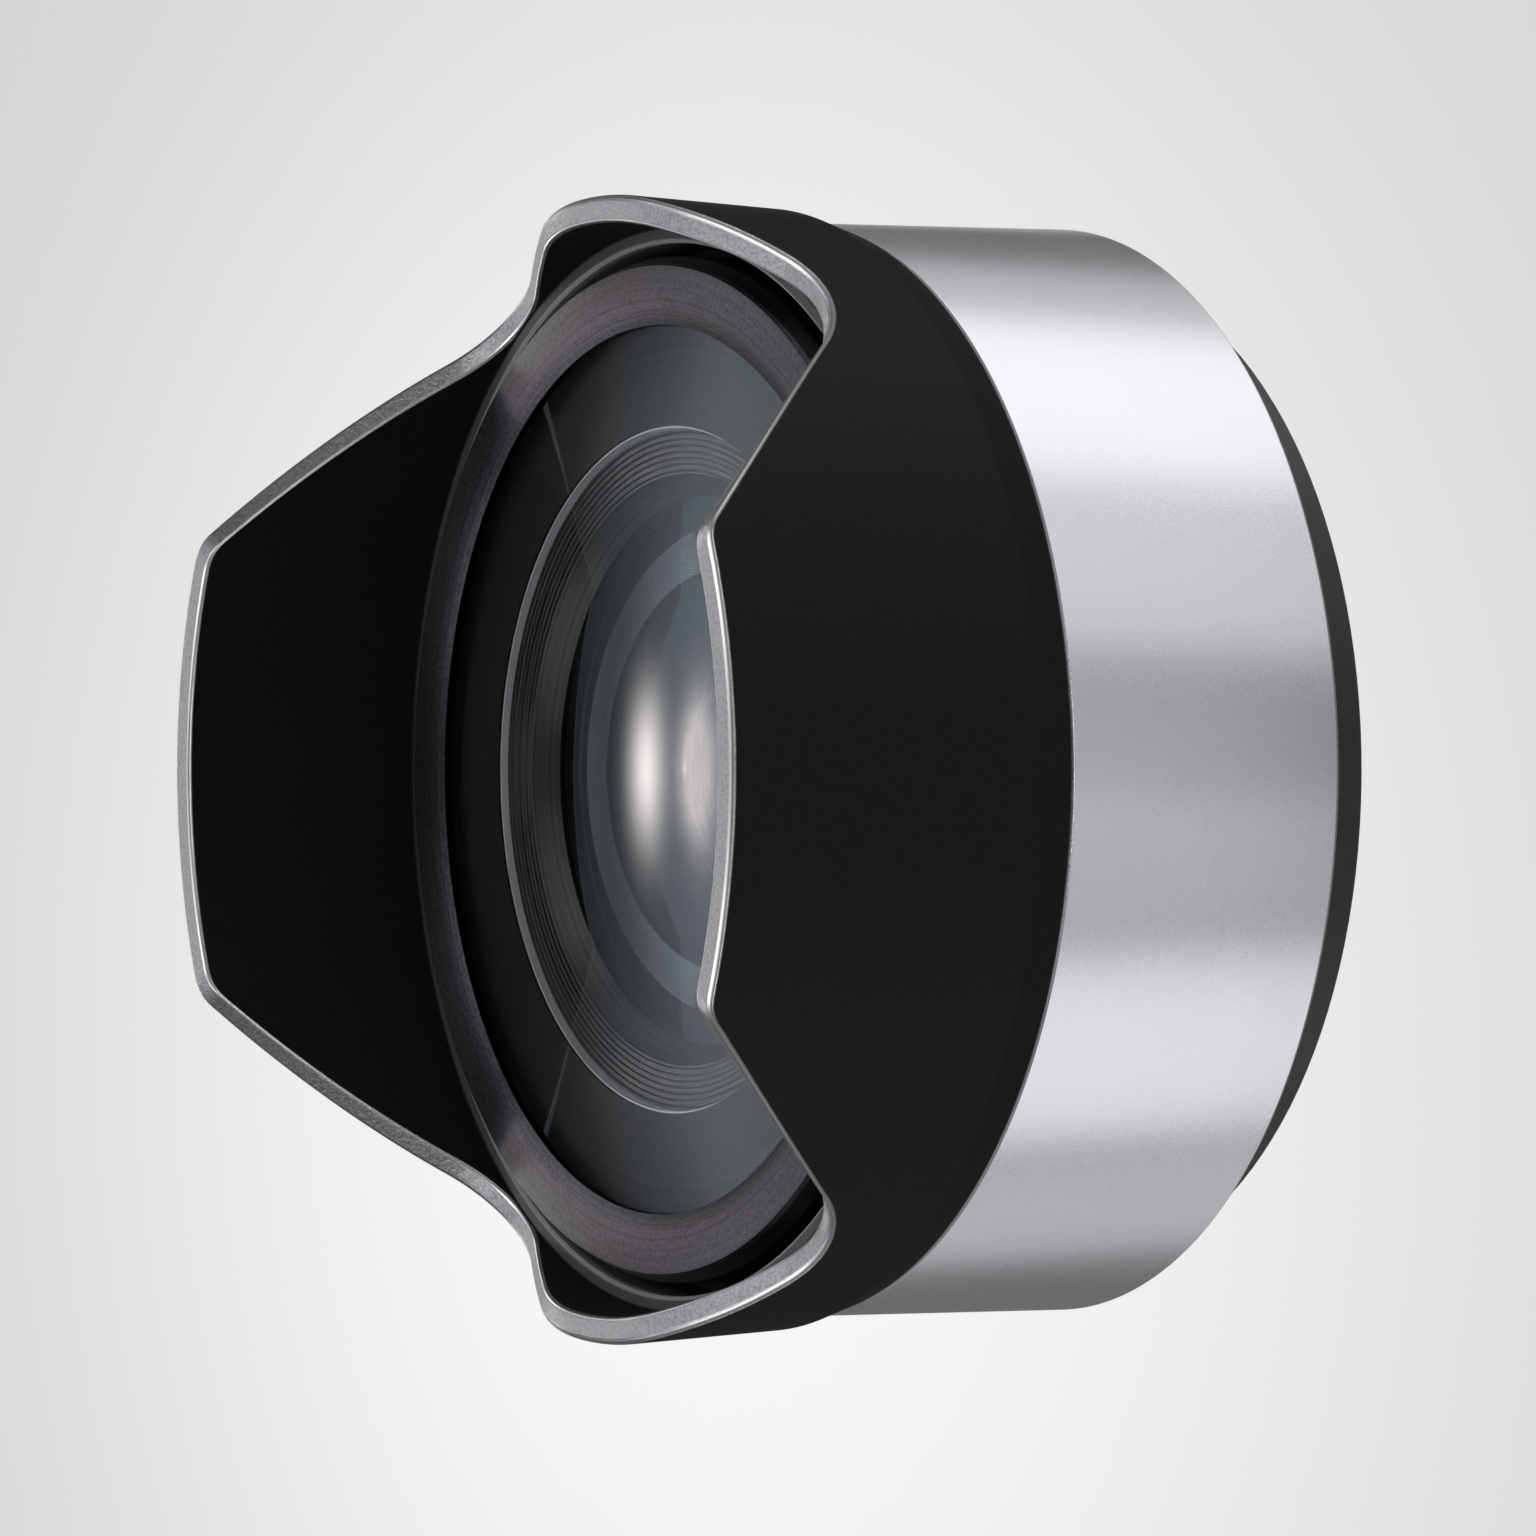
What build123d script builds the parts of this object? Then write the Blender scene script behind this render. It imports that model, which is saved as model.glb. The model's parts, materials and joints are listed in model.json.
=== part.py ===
"""Fisheye lens with a four-petal hood, standing on its rear ring.

Millimetres. +Z is the optical axis, pointing at the subject. The origin is the middle of the
rear ring's end face. The long petals are at +Y and -Y, the short ones at +X and -X, and the
release key is at +Y.
"""
from build123d import *
from math import atan2, cos, pi, radians, sin, sqrt, tan
import os

os.makedirs("parts", exist_ok=True)

def sag(surface_radius, radius):
    """How far a spherical surface falls from its apex at a radius from the axis."""
    return surface_radius - sqrt(surface_radius ** 2 - radius ** 2)


def bowl_curve(radius, depth):
    """The surface radius of a bowl with a given opening radius and depth."""
    return (radius ** 2 + depth ** 2) / (2 * depth)


# Clearances and edges shared by the whole lens
fit_gap = 0.03          # between pieces that are screwed or pressed home
slip_gap = 0.05         # radial, where a ring drops into a bore
run_gap = 0.05          # radial, where the lock pin runs
guard_gap = 0.3         # round the release stem, in its slot
barrel_gap = 0.4        # between the sleeve and the housing's flanges
edge_break = 0.25       # small chamfer on turned edges
overrun = 2.0           # how far a cutter passes the face it cuts

# Radii, from the front glass out to the hood and the sleeve
front_edge_r = 25.75
gasket_wall = 1.0
ring_wall = 2.0
ring_moat = 0.77        # dark groove between the front ring and the hood
hood_wall = 1.28        # at the sleeve's front edge
sleeve_wall = 1.2
sleeve_rear_wall = 0.8
housing_top_r = front_edge_r + gasket_wall + 3 * slip_gap
ring_r = housing_top_r + slip_gap + ring_wall
hood_bore_r = ring_r + ring_moat
sleeve_r = hood_bore_r + hood_wall
sleeve_inner_r = sleeve_r - sleeve_wall

# Rear ring, with the skirt that the lens stands on
skirt_height = 3.43
skirt_inset = 3.0       # from the sleeve's outside
skirt_wall = 0.8
skirt_edge = 0.3
rear_flange_inset = 0.2
seat_sink = 0.43        # from the sleeve's rear edge back to the lens seat
seat_thickness = 1.5
web_thickness = 1.3
web_cover = 0.8         # how far the web stands in front of the sleeve's step
skirt_r = sleeve_r - skirt_inset
sleeve_rear_z = skirt_height
seat_z = sleeve_rear_z - seat_sink
web_rear_z = seat_z + seat_thickness
web_front_z = web_rear_z + web_thickness
sleeve_step_z = web_front_z - web_cover

# Bayonet ring and its three tabs
bayonet_rear_z = 0.5
bayonet_skirt_wall = 0.5
seat_width = 4.25
web_lead = 0.5          # how much wider the web's bore is than the seat's
tab_depth = 1.0
tab_height = 1.0
tab_count = 3
tab_span_deg = 46.0
tab_first_deg = 30.0
bayonet_bore_r = skirt_r - skirt_wall - slip_gap - bayonet_skirt_wall
seat_bore_r = bayonet_bore_r - seat_width
web_bore_r = seat_bore_r + web_lead

# Leaf springs, one on each tab
leaf_width = 0.7
leaf_thickness = 0.2
leaf_rise = 0.45
leaf_span_share = 0.72
leaf_foot_share = 0.12

# Index mark, a filled dot on the skirt
mark_r = 0.75
mark_depth = 0.35
mark_deg = 45.0
mark_z = (skirt_edge + skirt_height) / 2

# Lens housing, between the web and the hood
boss_gap = 0.6
housing_rise = 0.3      # from the bayonet ring's front face to the housing's rear end
foot_thickness = 1.6
rear_bore_r = 14.6
housing_wall = 2.8
shelf_width = 2.0
shelf_thickness = 1.6
shoulder_thickness = 2.0
spigot_depth = 2.87     # how far the hood reaches into the sleeve
housing_rear_z = web_rear_z + housing_rise
housing_boss_r = web_bore_r - boss_gap
housing_flange_r = sleeve_inner_r - barrel_gap
foot_front_z = web_front_z + foot_thickness
housing_body_r = rear_bore_r + housing_wall
shelf_bore_r = rear_bore_r - shelf_width

# Release key, lock pin and their spring
pin_r = 0.75
pin_inset = 1.25        # from the bayonet bore to the pin's middle
pin_reach = 1.3
pin_point = 0.3
pin_sink = 0.2          # below the bracket's top
release_travel = 1.6
arm_half_width = 2.0
arm_lift = 0.1          # from the housing's foot
arm_height = 1.6
arm_reach = 1.8         # from the pin's middle inwards
key_half_width = 5.0
key_gap = 0.2
key_thickness = 1.1
key_cover = 2.0
key_edge = 0.3
key_rib_count = 4
key_rib_depth = 0.35
key_rib_share = 0.45
bridge_side_gap = 1.2
bridge_half_depth = 2.2
bridge_wall = 1.0
bridge_foot_reach = 3.1
bridge_screw_r = 0.6
bridge_head_r = 1.05
bridge_head_height = 0.7
spring_wire_r = 0.15
spring_gap = 0.35       # between the pin and the coil's inside
spring_turns = 4
spring_room = 1.7       # the coil's height when the key is pushed home
waist_gap = 1.0         # from the pin's highest end to the housing's shoulder
pin_centre_y = bayonet_bore_r - pin_inset
arm_rear_z = foot_front_z + arm_lift
arm_inner_y = pin_centre_y - arm_reach
bridge_top_z = arm_rear_z + arm_height + release_travel + spring_room + bridge_wall
bridge_inner_x = arm_half_width + bridge_side_gap
pin_front_z = bridge_top_z - pin_sink
spring_coil_r = pin_r + spring_gap + spring_wire_r
shoulder_rear_z = bridge_top_z + release_travel + waist_gap
shoulder_front_z = shoulder_rear_z + shoulder_thickness
sleeve_front_z = shoulder_front_z + spigot_depth

# Screws
screw_count = 4
screw_first_deg = 45.0
screw_r = 0.8
screw_gap = 0.08
screw_head_r = 1.3
screw_head_height = 0.9
screw_slot_width = 0.35
screw_slot_depth = 0.35
screw_slot_reach_share = 0.7
screw_end_margin = 0.3
bayonet_screw_sink = 0.1
bayonet_screw_circle_r = (seat_bore_r + bayonet_bore_r) / 2
hood_screw_circle_r = (housing_top_r + housing_flange_r) / 2

# Petal hood, by its heights above the sleeve's front edge
flange_height = 1.43
hood_chamfer_height = 2.27
valley_height = 6.81
wing_height = 12.13
petal_height = 22.33
ledge_rise = 1.12       # from the valleys' sharp corner to the ledge inside the hood
ledge_width = 0.88
ledge_edge = 0.15
hood_chamfer_step = 0.78
hood_flare = 1.22       # how far the wall leans out between the chamfer and the tips
hood_tip_wall = 1.73
shoulder_blend = 0.5
rim_outer_blend = 0.45
hood_flange_front_z = sleeve_front_z + flange_height
hood_spigot_r = sleeve_inner_r - slip_gap
hood_chamfer_z = sleeve_front_z + hood_chamfer_height
hood_chamfer_r = sleeve_r + hood_chamfer_step
hood_tip_r = hood_chamfer_r + hood_flare
hood_tip_inner_r = hood_tip_r - hood_tip_wall
valley_corner_z = sleeve_front_z + valley_height
wing_tip_z = sleeve_front_z + wing_height
petal_tip_z = sleeve_front_z + petal_height
ledge_z = valley_corner_z + ledge_rise
ledge_r = hood_bore_r + ledge_width

# Rim of the hood, unrolled at the wall's mean radius
petal_corner_deg = 23.5
valley_corner_deg = 53.9
wing_corner_deg = 78.4
quadrant_deg = 90.0
petal_corner_blend = 2.6
valley_blend = 8.3
wing_blend_share = 0.82
rim_steps = 44
rim_probe_shares = (0, 0.3, 0.7, 1)

# Front ring round the glass
ring_stand = 1.05       # above the hood's ledge
ring_foot_gap = 0.8     # above the hood's flange
ring_lap = 0.67         # over the glass's edge
ring_bore_edge = 0.3
ring_crown_drop = 0.05
ring_cone_width = 0.5
ring_cone_height = 1.1
ring_lip_thickness = 0.42
ring_bore_r = front_edge_r - ring_lap
ring_face_r = ring_r - ring_cone_width
ring_top_z = ledge_z + ring_stand
ring_lip_z = ring_top_z - ring_lip_thickness
ring_rear_z = hood_flange_front_z + ring_foot_gap

# Gasket and felt seal
gasket_height = 1.2
seal_wall = 0.6
seal_height = 2.2
housing_top_z = ring_lip_z - fit_gap - gasket_height

# Second element, a strong negative meniscus
second_step = 1.0       # how much wider it is than the rear bore
second_gap = 0.17       # behind the front glass
second_radius = 60.0
second_edge_thickness = 4.37
second_bowl_r = 10.2
second_bowl_depth = 4.19
second_edge_r = rear_bore_r + second_step

# Ring that holds the second element: turned grooves, then a plain cone down to the glass
retainer_gap = 0.15     # behind the front glass
retainer_lap = 0.7      # over the second element's edge
retainer_cone_width = 1.3
retainer_groove_width = 2.65
retainer_groove_drop = 0.65
retainer_skirt = 0.68
retainer_groove_count = 7
retainer_groove_depth = 0.12
retainer_lip_r = second_edge_r - retainer_lap
retainer_groove_r = retainer_lip_r + retainer_cone_width
retainer_top_r = retainer_groove_r + retainer_groove_width

# Front glass
glass_bevel = 0.15
glass_seat_depth = 2.6
front_radius = 130.0
front_bowl_depth = 0.75
front_bowl_margin = 0.15
front_apex_z = ring_lip_z - fit_gap + sag(front_radius, ring_bore_r)
front_rear_z = housing_top_z - glass_seat_depth
front_bowl_r = retainer_top_r + front_bowl_margin

second_apex_z = front_rear_z - second_gap
second_seat_z = second_apex_z - sag(second_radius, second_edge_r) - second_edge_thickness
retainer_top_z = front_rear_z - retainer_gap
retainer_groove_z = retainer_top_z - retainer_groove_drop
retainer_lip_z = second_apex_z - sag(second_radius, retainer_lip_r) + fit_gap
retainer_rear_z = retainer_lip_z - retainer_skirt

# Third and rear elements, a positive pair
rear_retainer_sink = 0.15
rear_retainer_height = 1.25
rear_retainer_wall = 1.3
rear_rear_radius = 400.0
rear_edge_thickness = 1.06
rear_front_radius = 60.0
pair_gap = 0.5
third_rear_radius = 150.0
third_edge_thickness = 0.95
third_front_radius = 50.0
spanner_slot_width = 1.6
spanner_slot_depth = 0.6
pair_edge_r = rear_bore_r - 2 * slip_gap
rear_retainer_bore_r = pair_edge_r - rear_retainer_wall
rear_retainer_rear_z = housing_rear_z + rear_retainer_sink
rear_rear_z = rear_retainer_rear_z + rear_retainer_height
rear_rear_rim_z = rear_rear_z + sag(rear_rear_radius, pair_edge_r)
rear_front_z = rear_rear_rim_z + rear_edge_thickness + sag(rear_front_radius, pair_edge_r)
third_rear_z = rear_front_z + pair_gap
third_rear_rim_z = third_rear_z + sag(third_rear_radius, pair_edge_r)
third_front_z = third_rear_rim_z + third_edge_thickness + sag(third_front_radius, pair_edge_r)

# Rings behind the second element
stop_thickness = 0.25
stop_lap = 1.6          # how far the stop stands in from the shelf's bore
baffle_step = 0.8
baffle_groove_count = 6
baffle_groove_depth = 0.25
spacer_wall = 1.1
stop_bore_r = shelf_bore_r - stop_lap
baffle_front_r = stop_bore_r + baffle_step
baffle_rear_r = baffle_front_r + baffle_step
spacer_bore_r = pair_edge_r - spacer_wall


def lathe(*outline):
    """Turn a closed outline of (radius, height) points about the optical axis."""
    return revolve(Plane.XZ * make_face(Polyline(*outline, close=True)), Axis.Z)


def polar(radius, angle_deg, height=0):
    """A point at a radius and angle from the optical axis."""
    angle = radians(angle_deg)
    return (radius * cos(angle), radius * sin(angle), height)


def disc(radius, rear_z, front_z):
    """A round bar on the optical axis between two heights."""
    bar = Cylinder(radius, front_z - rear_z, align=(Align.CENTER, Align.CENTER, Align.MIN))
    return Pos(0, 0, rear_z) * bar


def block(x_span, y_span, z_span):
    """A box between the two values of each span."""
    size = [span[1] - span[0] for span in (x_span, y_span, z_span)]
    corner = Pos(x_span[0], y_span[0], z_span[0])
    return corner * Box(*size, align=(Align.MIN, Align.MIN, Align.MIN))


def screw_angles():
    """Angles of the screws on a circle, evenly spaced."""
    return [screw_first_deg + i * 360 / screw_count for i in range(screw_count)]


def around(piece, radius, angles, height=0):
    """Copies of a piece on a circle, as a list."""
    return [Pos(*polar(radius, angle, height)) * Rot(0, 0, angle) * piece for angle in angles]


def surface_arc(apex_z, surface_radius, radius, way):
    """A lens surface from the axis out to a radius. way is 1 where the glass falls, -1 where it rises."""
    half = radius / 2
    return ThreePointArc(
        (0, apex_z),
        (half, apex_z - way * sag(surface_radius, half)),
        (radius, apex_z - way * sag(surface_radius, radius)),
    )


def glass(front, rear, edge_points):
    """A lens element: two surfaces from the axis, joined by the points of its edge."""
    edge = Polyline(front @ 1, *edge_points, rear @ 1)
    axis = Line(rear @ 0, front @ 0)
    return revolve(Plane.XZ * make_face([front, edge, rear, axis]), Axis.Z)


# Rear ring, bayonet and sleeve

def rear_ring():
    inner_r = skirt_r - skirt_wall
    flange_r = sleeve_r - sleeve_rear_wall - slip_gap
    flange_z = sleeve_rear_z + rear_flange_inset
    shoulder_r_in = sleeve_inner_r - 2 * slip_gap
    ring = lathe(
        (inner_r, skirt_edge), (inner_r + skirt_edge / 2, 0), (skirt_r - skirt_edge, 0),
        (skirt_r, skirt_edge), (skirt_r, flange_z), (flange_r, flange_z), (flange_r, sleeve_step_z),
        (shoulder_r_in, sleeve_step_z), (shoulder_r_in, web_front_z), (web_bore_r, web_front_z),
        (web_bore_r, web_rear_z), (inner_r, web_rear_z),
    )
    hole = disc(screw_r + screw_gap, web_rear_z - overrun, web_front_z + overrun)
    ring -= around(hole, bayonet_screw_circle_r, screw_angles())
    ring -= pin_hole(web_rear_z, web_front_z)
    ring -= mark_plug(mark_depth + fit_gap, mark_r + fit_gap)
    return ring


def mark_plug(depth, radius):
    """A short round plug let into the skirt, its outer end curved like the skirt."""
    plug = Rot(0, 0, mark_deg) * Pos(skirt_r, 0, mark_z) * Rot(0, 90, 0) * Cylinder(radius, 2 * depth)
    return plug & disc(skirt_r, 0, sleeve_rear_z)


def pin_hole(rear_z, front_z, gap=run_gap):
    """A cutter for the lock pin's running hole."""
    return Pos(0, pin_centre_y, 0) * disc(pin_r + gap, rear_z - overrun, front_z + overrun)


def tab_angles():
    return [tab_first_deg + i * 360 / tab_count for i in range(tab_count)]


def sector(radius_in, radius_out, rear_z, front_z, middle_deg, span_deg):
    """A ring's sector, square to the optical axis."""
    outline = Polyline((radius_in, rear_z), (radius_out, rear_z), (radius_out, front_z),
                       (radius_in, front_z), close=True)
    turned = revolve(Plane.XZ * make_face(outline), Axis.Z, revolution_arc=span_deg)
    return Rot(0, 0, middle_deg - span_deg / 2) * turned


def bayonet_ring():
    outer_r = skirt_r - skirt_wall - slip_gap
    bore_r = bayonet_bore_r
    front_z = web_rear_z
    ring = lathe(
        (outer_r, bayonet_rear_z), (outer_r, front_z), (seat_bore_r, front_z), (seat_bore_r, seat_z),
        (bore_r, seat_z), (bore_r, bayonet_rear_z),
    )
    for angle in tab_angles():
        ring += sector(bore_r - tab_depth, bore_r + fit_gap, bayonet_rear_z, bayonet_rear_z + tab_height,
                       angle, tab_span_deg)
    ring -= around(countersunk_form(front_z + overrun, screw_gap), bayonet_screw_circle_r, screw_angles())
    ring -= pin_hole(seat_z, front_z)
    return ring


def countersunk_form(front_z, gap=0):
    """The form of a countersunk screw whose head faces the rear. A gap makes its cutter."""
    face_z = seat_z + bayonet_screw_sink
    form = lathe((0, face_z), (screw_head_r + gap, face_z), (screw_r + gap, face_z + screw_head_height),
                 (screw_r + gap, front_z), (0, front_z))
    return form + disc(screw_head_r + gap, face_z - overrun, face_z) if gap else form


def cross_slot(rear_z, depth):
    """A cross recess in the rear face of a screw head."""
    reach = screw_head_r * screw_slot_reach_share
    half = screw_slot_width / 2
    span_z = (rear_z - overrun, rear_z + depth)
    return block((-reach, reach), (-half, half), span_z) + block((-half, half), (-reach, reach), span_z)


def bayonet_screws():
    screw = countersunk_form(foot_front_z - screw_end_margin)
    screw -= cross_slot(seat_z + bayonet_screw_sink, screw_slot_depth)
    return Compound(around(screw, bayonet_screw_circle_r, screw_angles()))


def leaf_spring(angle):
    """A bowed strip whose two flat feet lie on a tab's inner face."""
    tab_front_z = bayonet_rear_z + tab_height
    outer_r = bayonet_bore_r - slip_gap
    inner_r = outer_r - leaf_width
    half = outer_r * sin(radians(tab_span_deg * leaf_span_share / 2))
    foot = half * leaf_foot_share
    crest_z = tab_front_z + leaf_rise
    lower = [
        Line((-half, tab_front_z), (-half + foot, tab_front_z)),
        ThreePointArc((-half + foot, tab_front_z), (0, crest_z), (half - foot, tab_front_z)),
        Line((half - foot, tab_front_z), (half, tab_front_z)),
    ]
    upper = [Pos(0, leaf_thickness) * edge for edge in lower]
    ends = [Line(lower[0] @ 0, upper[0] @ 0), Line(lower[2] @ 1, upper[2] @ 1)]
    strip = extrude(Plane.XZ * make_face([*lower, *upper, *ends]), amount=-(outer_r + overrun))
    strip &= sector(inner_r, outer_r, 0, seat_z, 90, tab_span_deg)
    return Rot(0, 0, angle - 90) * strip


def barrel_sleeve():
    inner_r = sleeve_inner_r
    rear_inner_r = sleeve_r - sleeve_rear_wall
    sleeve = lathe(
        (rear_inner_r, sleeve_rear_z), (sleeve_r - edge_break, sleeve_rear_z),
        (sleeve_r, sleeve_rear_z + edge_break), (sleeve_r, sleeve_front_z - edge_break),
        (sleeve_r - edge_break, sleeve_front_z), (inner_r, sleeve_front_z),
        (inner_r, sleeve_step_z), (rear_inner_r, sleeve_step_z),
    )
    half = arm_half_width + guard_gap
    slot_rear_z = arm_rear_z - guard_gap
    slot_front_z = arm_rear_z + arm_height + release_travel + guard_gap
    slot = block((-half, half), (inner_r - overrun, sleeve_r + overrun), (slot_rear_z, slot_front_z))
    return sleeve - slot


# Housing and the glass it carries

def lens_housing():
    seat_r = front_edge_r + slip_gap
    second_bore_r = second_edge_r + slip_gap
    retainer_bore_r = retainer_top_r + 2 * slip_gap
    shelf_rear_z = second_seat_z - shelf_thickness
    housing = lathe(
        (rear_bore_r, housing_rear_z), (housing_boss_r, housing_rear_z), (housing_boss_r, web_front_z),
        (housing_flange_r, web_front_z), (housing_flange_r, foot_front_z), (housing_body_r, foot_front_z),
        (housing_body_r, shoulder_rear_z), (housing_flange_r, shoulder_rear_z),
        (housing_flange_r, shoulder_front_z), (housing_top_r, shoulder_front_z),
        (housing_top_r, housing_top_z), (seat_r, housing_top_z),
        (seat_r, front_rear_z), (retainer_bore_r, front_rear_z), (retainer_bore_r, retainer_rear_z),
        (second_bore_r, retainer_rear_z), (second_bore_r, second_seat_z), (shelf_bore_r, second_seat_z),
        (shelf_bore_r, shelf_rear_z), (rear_bore_r, shelf_rear_z),
    )
    tapped = disc(screw_r + fit_gap, web_front_z - overrun, foot_front_z + overrun)
    housing -= around(tapped, bayonet_screw_circle_r, screw_angles())
    clear = disc(screw_r + screw_gap, shoulder_rear_z - overrun, shoulder_front_z + overrun)
    housing -= around(clear, hood_screw_circle_r, screw_angles())
    housing -= pin_hole(web_front_z, foot_front_z)
    bridge_hole = disc(bridge_screw_r + fit_gap, web_front_z + bridge_wall / 2, foot_front_z + overrun)
    housing -= [Pos(x, pin_centre_y, 0) * bridge_hole for x in bridge_screw_xs()]
    return housing


def front_element():
    bowl_z = front_rear_z + front_bowl_depth
    edge_z = front_apex_z - sag(front_radius, front_edge_r - glass_bevel)
    front = surface_arc(front_apex_z, front_radius, front_edge_r - glass_bevel, 1)
    rear = surface_arc(bowl_z, bowl_curve(front_bowl_r, front_bowl_depth), front_bowl_r, 1)
    return glass(front, rear, [
        (front_edge_r, edge_z - glass_bevel), (front_edge_r, front_rear_z + glass_bevel),
        (front_edge_r - glass_bevel, front_rear_z),
    ])


def second_element():
    bowl_z = second_seat_z + second_bowl_depth
    edge_z = second_apex_z - sag(second_radius, second_edge_r - glass_bevel)
    front = surface_arc(second_apex_z, second_radius, second_edge_r - glass_bevel, 1)
    rear = surface_arc(bowl_z, bowl_curve(second_bowl_r, second_bowl_depth), second_bowl_r, 1)
    return glass(front, rear, [
        (second_edge_r, edge_z - glass_bevel), (second_edge_r, second_seat_z + glass_bevel),
        (second_edge_r - glass_bevel, second_seat_z),
    ])


def third_element():
    front = surface_arc(third_front_z, third_front_radius, pair_edge_r, 1)
    rear = surface_arc(third_rear_z, third_rear_radius, pair_edge_r, -1)
    return glass(front, rear, [])


def rear_element():
    front = surface_arc(rear_front_z, rear_front_radius, pair_edge_r, 1)
    rear = surface_arc(rear_rear_z, rear_rear_radius, pair_edge_r, -1)
    return glass(front, rear, [])


def grooved(start, end, count, depth):
    """Points of a V-grooved line from start to end, grooves going down to the left of the way."""
    length = sqrt((end[0] - start[0]) ** 2 + (end[1] - start[1]) ** 2)
    away = ((start[1] - end[1]) / length * depth, (end[0] - start[0]) / length * depth)
    points = []
    for i in range(count):
        near, far = i / count, (i + 0.5) / count
        points.append((start[0] + (end[0] - start[0]) * near, start[1] + (end[1] - start[1]) * near))
        points.append((start[0] + (end[0] - start[0]) * far + away[0],
                       start[1] + (end[1] - start[1]) * far + away[1]))
    return points + [end]


def second_retainer():
    bore_r = second_edge_r + slip_gap
    outer_r = retainer_top_r + slip_gap
    return lathe(
        *grooved((retainer_top_r, retainer_top_z), (retainer_groove_r, retainer_groove_z),
                 retainer_groove_count, retainer_groove_depth),
        (retainer_lip_r, retainer_lip_z), (bore_r, retainer_lip_z), (bore_r, retainer_rear_z),
        (outer_r, retainer_rear_z), (outer_r, retainer_top_z),
    )


def flare_stop():
    front_z = second_seat_z - shelf_thickness
    outer_r = rear_bore_r - slip_gap
    rear_z = front_z - stop_thickness
    return lathe((stop_bore_r, rear_z), (outer_r, rear_z), (outer_r, front_z), (stop_bore_r, front_z))


def light_baffle():
    front_z = second_seat_z - shelf_thickness - stop_thickness
    rear_z = third_front_z - sag(third_front_radius, baffle_rear_r) + fit_gap
    outer_r = rear_bore_r - slip_gap
    return lathe(
        *grooved((baffle_rear_r, rear_z), (baffle_front_r, front_z),
                 baffle_groove_count, -baffle_groove_depth),
        (outer_r, front_z), (outer_r, rear_z),
    )


def spacer_ring():
    front_z = third_rear_z + sag(third_rear_radius, spacer_bore_r) - fit_gap
    rear_z = rear_front_z - sag(rear_front_radius, spacer_bore_r) + fit_gap
    outer_r = rear_bore_r - slip_gap
    return lathe((spacer_bore_r, rear_z), (outer_r, rear_z),
                 (outer_r, front_z), (spacer_bore_r, front_z))


def rear_retainer():
    front_z = rear_rear_z + sag(rear_rear_radius, rear_retainer_bore_r) - fit_gap
    outer_r = rear_bore_r - slip_gap
    ring = lathe(
        (rear_retainer_bore_r + edge_break, rear_retainer_rear_z), (outer_r, rear_retainer_rear_z),
        (outer_r, front_z), (rear_retainer_bore_r, front_z),
        (rear_retainer_bore_r, rear_retainer_rear_z + edge_break),
    )
    half = spanner_slot_width / 2
    slot = block((-rear_bore_r, rear_bore_r), (-half, half),
                 (rear_retainer_rear_z - overrun, rear_retainer_rear_z + spanner_slot_depth))
    return ring - slot


# Front ring, seals and hood

def front_ring():
    inner_r = housing_top_r + slip_gap
    cone_z = ring_top_z - ring_cone_height
    return lathe(
        (ring_bore_r, ring_lip_z), (inner_r, ring_lip_z), (inner_r, ring_rear_z), (ring_r, ring_rear_z),
        (ring_r, cone_z), (ring_face_r, ring_top_z - ring_crown_drop),
        (ring_bore_r + ring_bore_edge, ring_top_z), (ring_bore_r, ring_top_z - ring_bore_edge),
    )


def front_gasket():
    inner_r = front_edge_r + slip_gap
    return lathe(
        (inner_r, housing_top_z), (inner_r + gasket_wall, housing_top_z),
        (inner_r + gasket_wall, ring_lip_z - fit_gap), (inner_r, ring_lip_z - fit_gap),
    )


def light_seal():
    outer_r = hood_bore_r - slip_gap
    front_z = hood_flange_front_z + seal_height
    return lathe((outer_r - seal_wall, hood_flange_front_z), (outer_r, hood_flange_front_z),
                 (outer_r, front_z), (outer_r - seal_wall, front_z))


def rim_points(radius):
    """The rim's line on a cylinder of the given radius, once round, from the middle of the +Y petal."""
    mean_r = (hood_tip_r + ledge_r) / 2
    unrolled = mean_r * pi / 180
    valley = (valley_corner_deg * unrolled, valley_corner_z)
    wing = (wing_corner_deg * unrolled, wing_tip_z)
    wing_flat = (quadrant_deg - wing_corner_deg) * unrolled
    wing_turn = atan2(wing[1] - valley[1], wing[0] - valley[0])
    wing_blend = wing_flat * wing_blend_share / tan(wing_turn / 2)
    outline = FilletPolyline(
        (0, petal_tip_z), (petal_corner_deg * unrolled, petal_tip_z), valley, wing,
        (quadrant_deg * unrolled, wing_tip_z),
        radius=(petal_corner_blend, valley_blend, wing_blend),
    )
    quarter = [outline @ (i / rim_steps) for i in range(rim_steps + 1)]
    quarter = [(point.X / unrolled, point.Y) for point in quarter]
    half_turn = quarter[:-1] + [(180 - angle, height) for angle, height in reversed(quarter[1:])]
    whole_turn = half_turn + [(180 + angle, height) for angle, height in half_turn]
    return [polar(radius, 90 - angle, height) for angle, height in whole_turn]


def rim_cutter():
    """Everything above the hood's rim, bounded below by lines that run straight out from the axis."""
    inner = Spline(*rim_points(hood_bore_r - overrun), periodic=True)
    outer = Spline(*rim_points(hood_tip_r + overrun), periodic=True)
    rim = Face.make_surface_from_curves(inner, outer)
    return Solid.extrude(rim, (0, 0, petal_tip_z))


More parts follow.
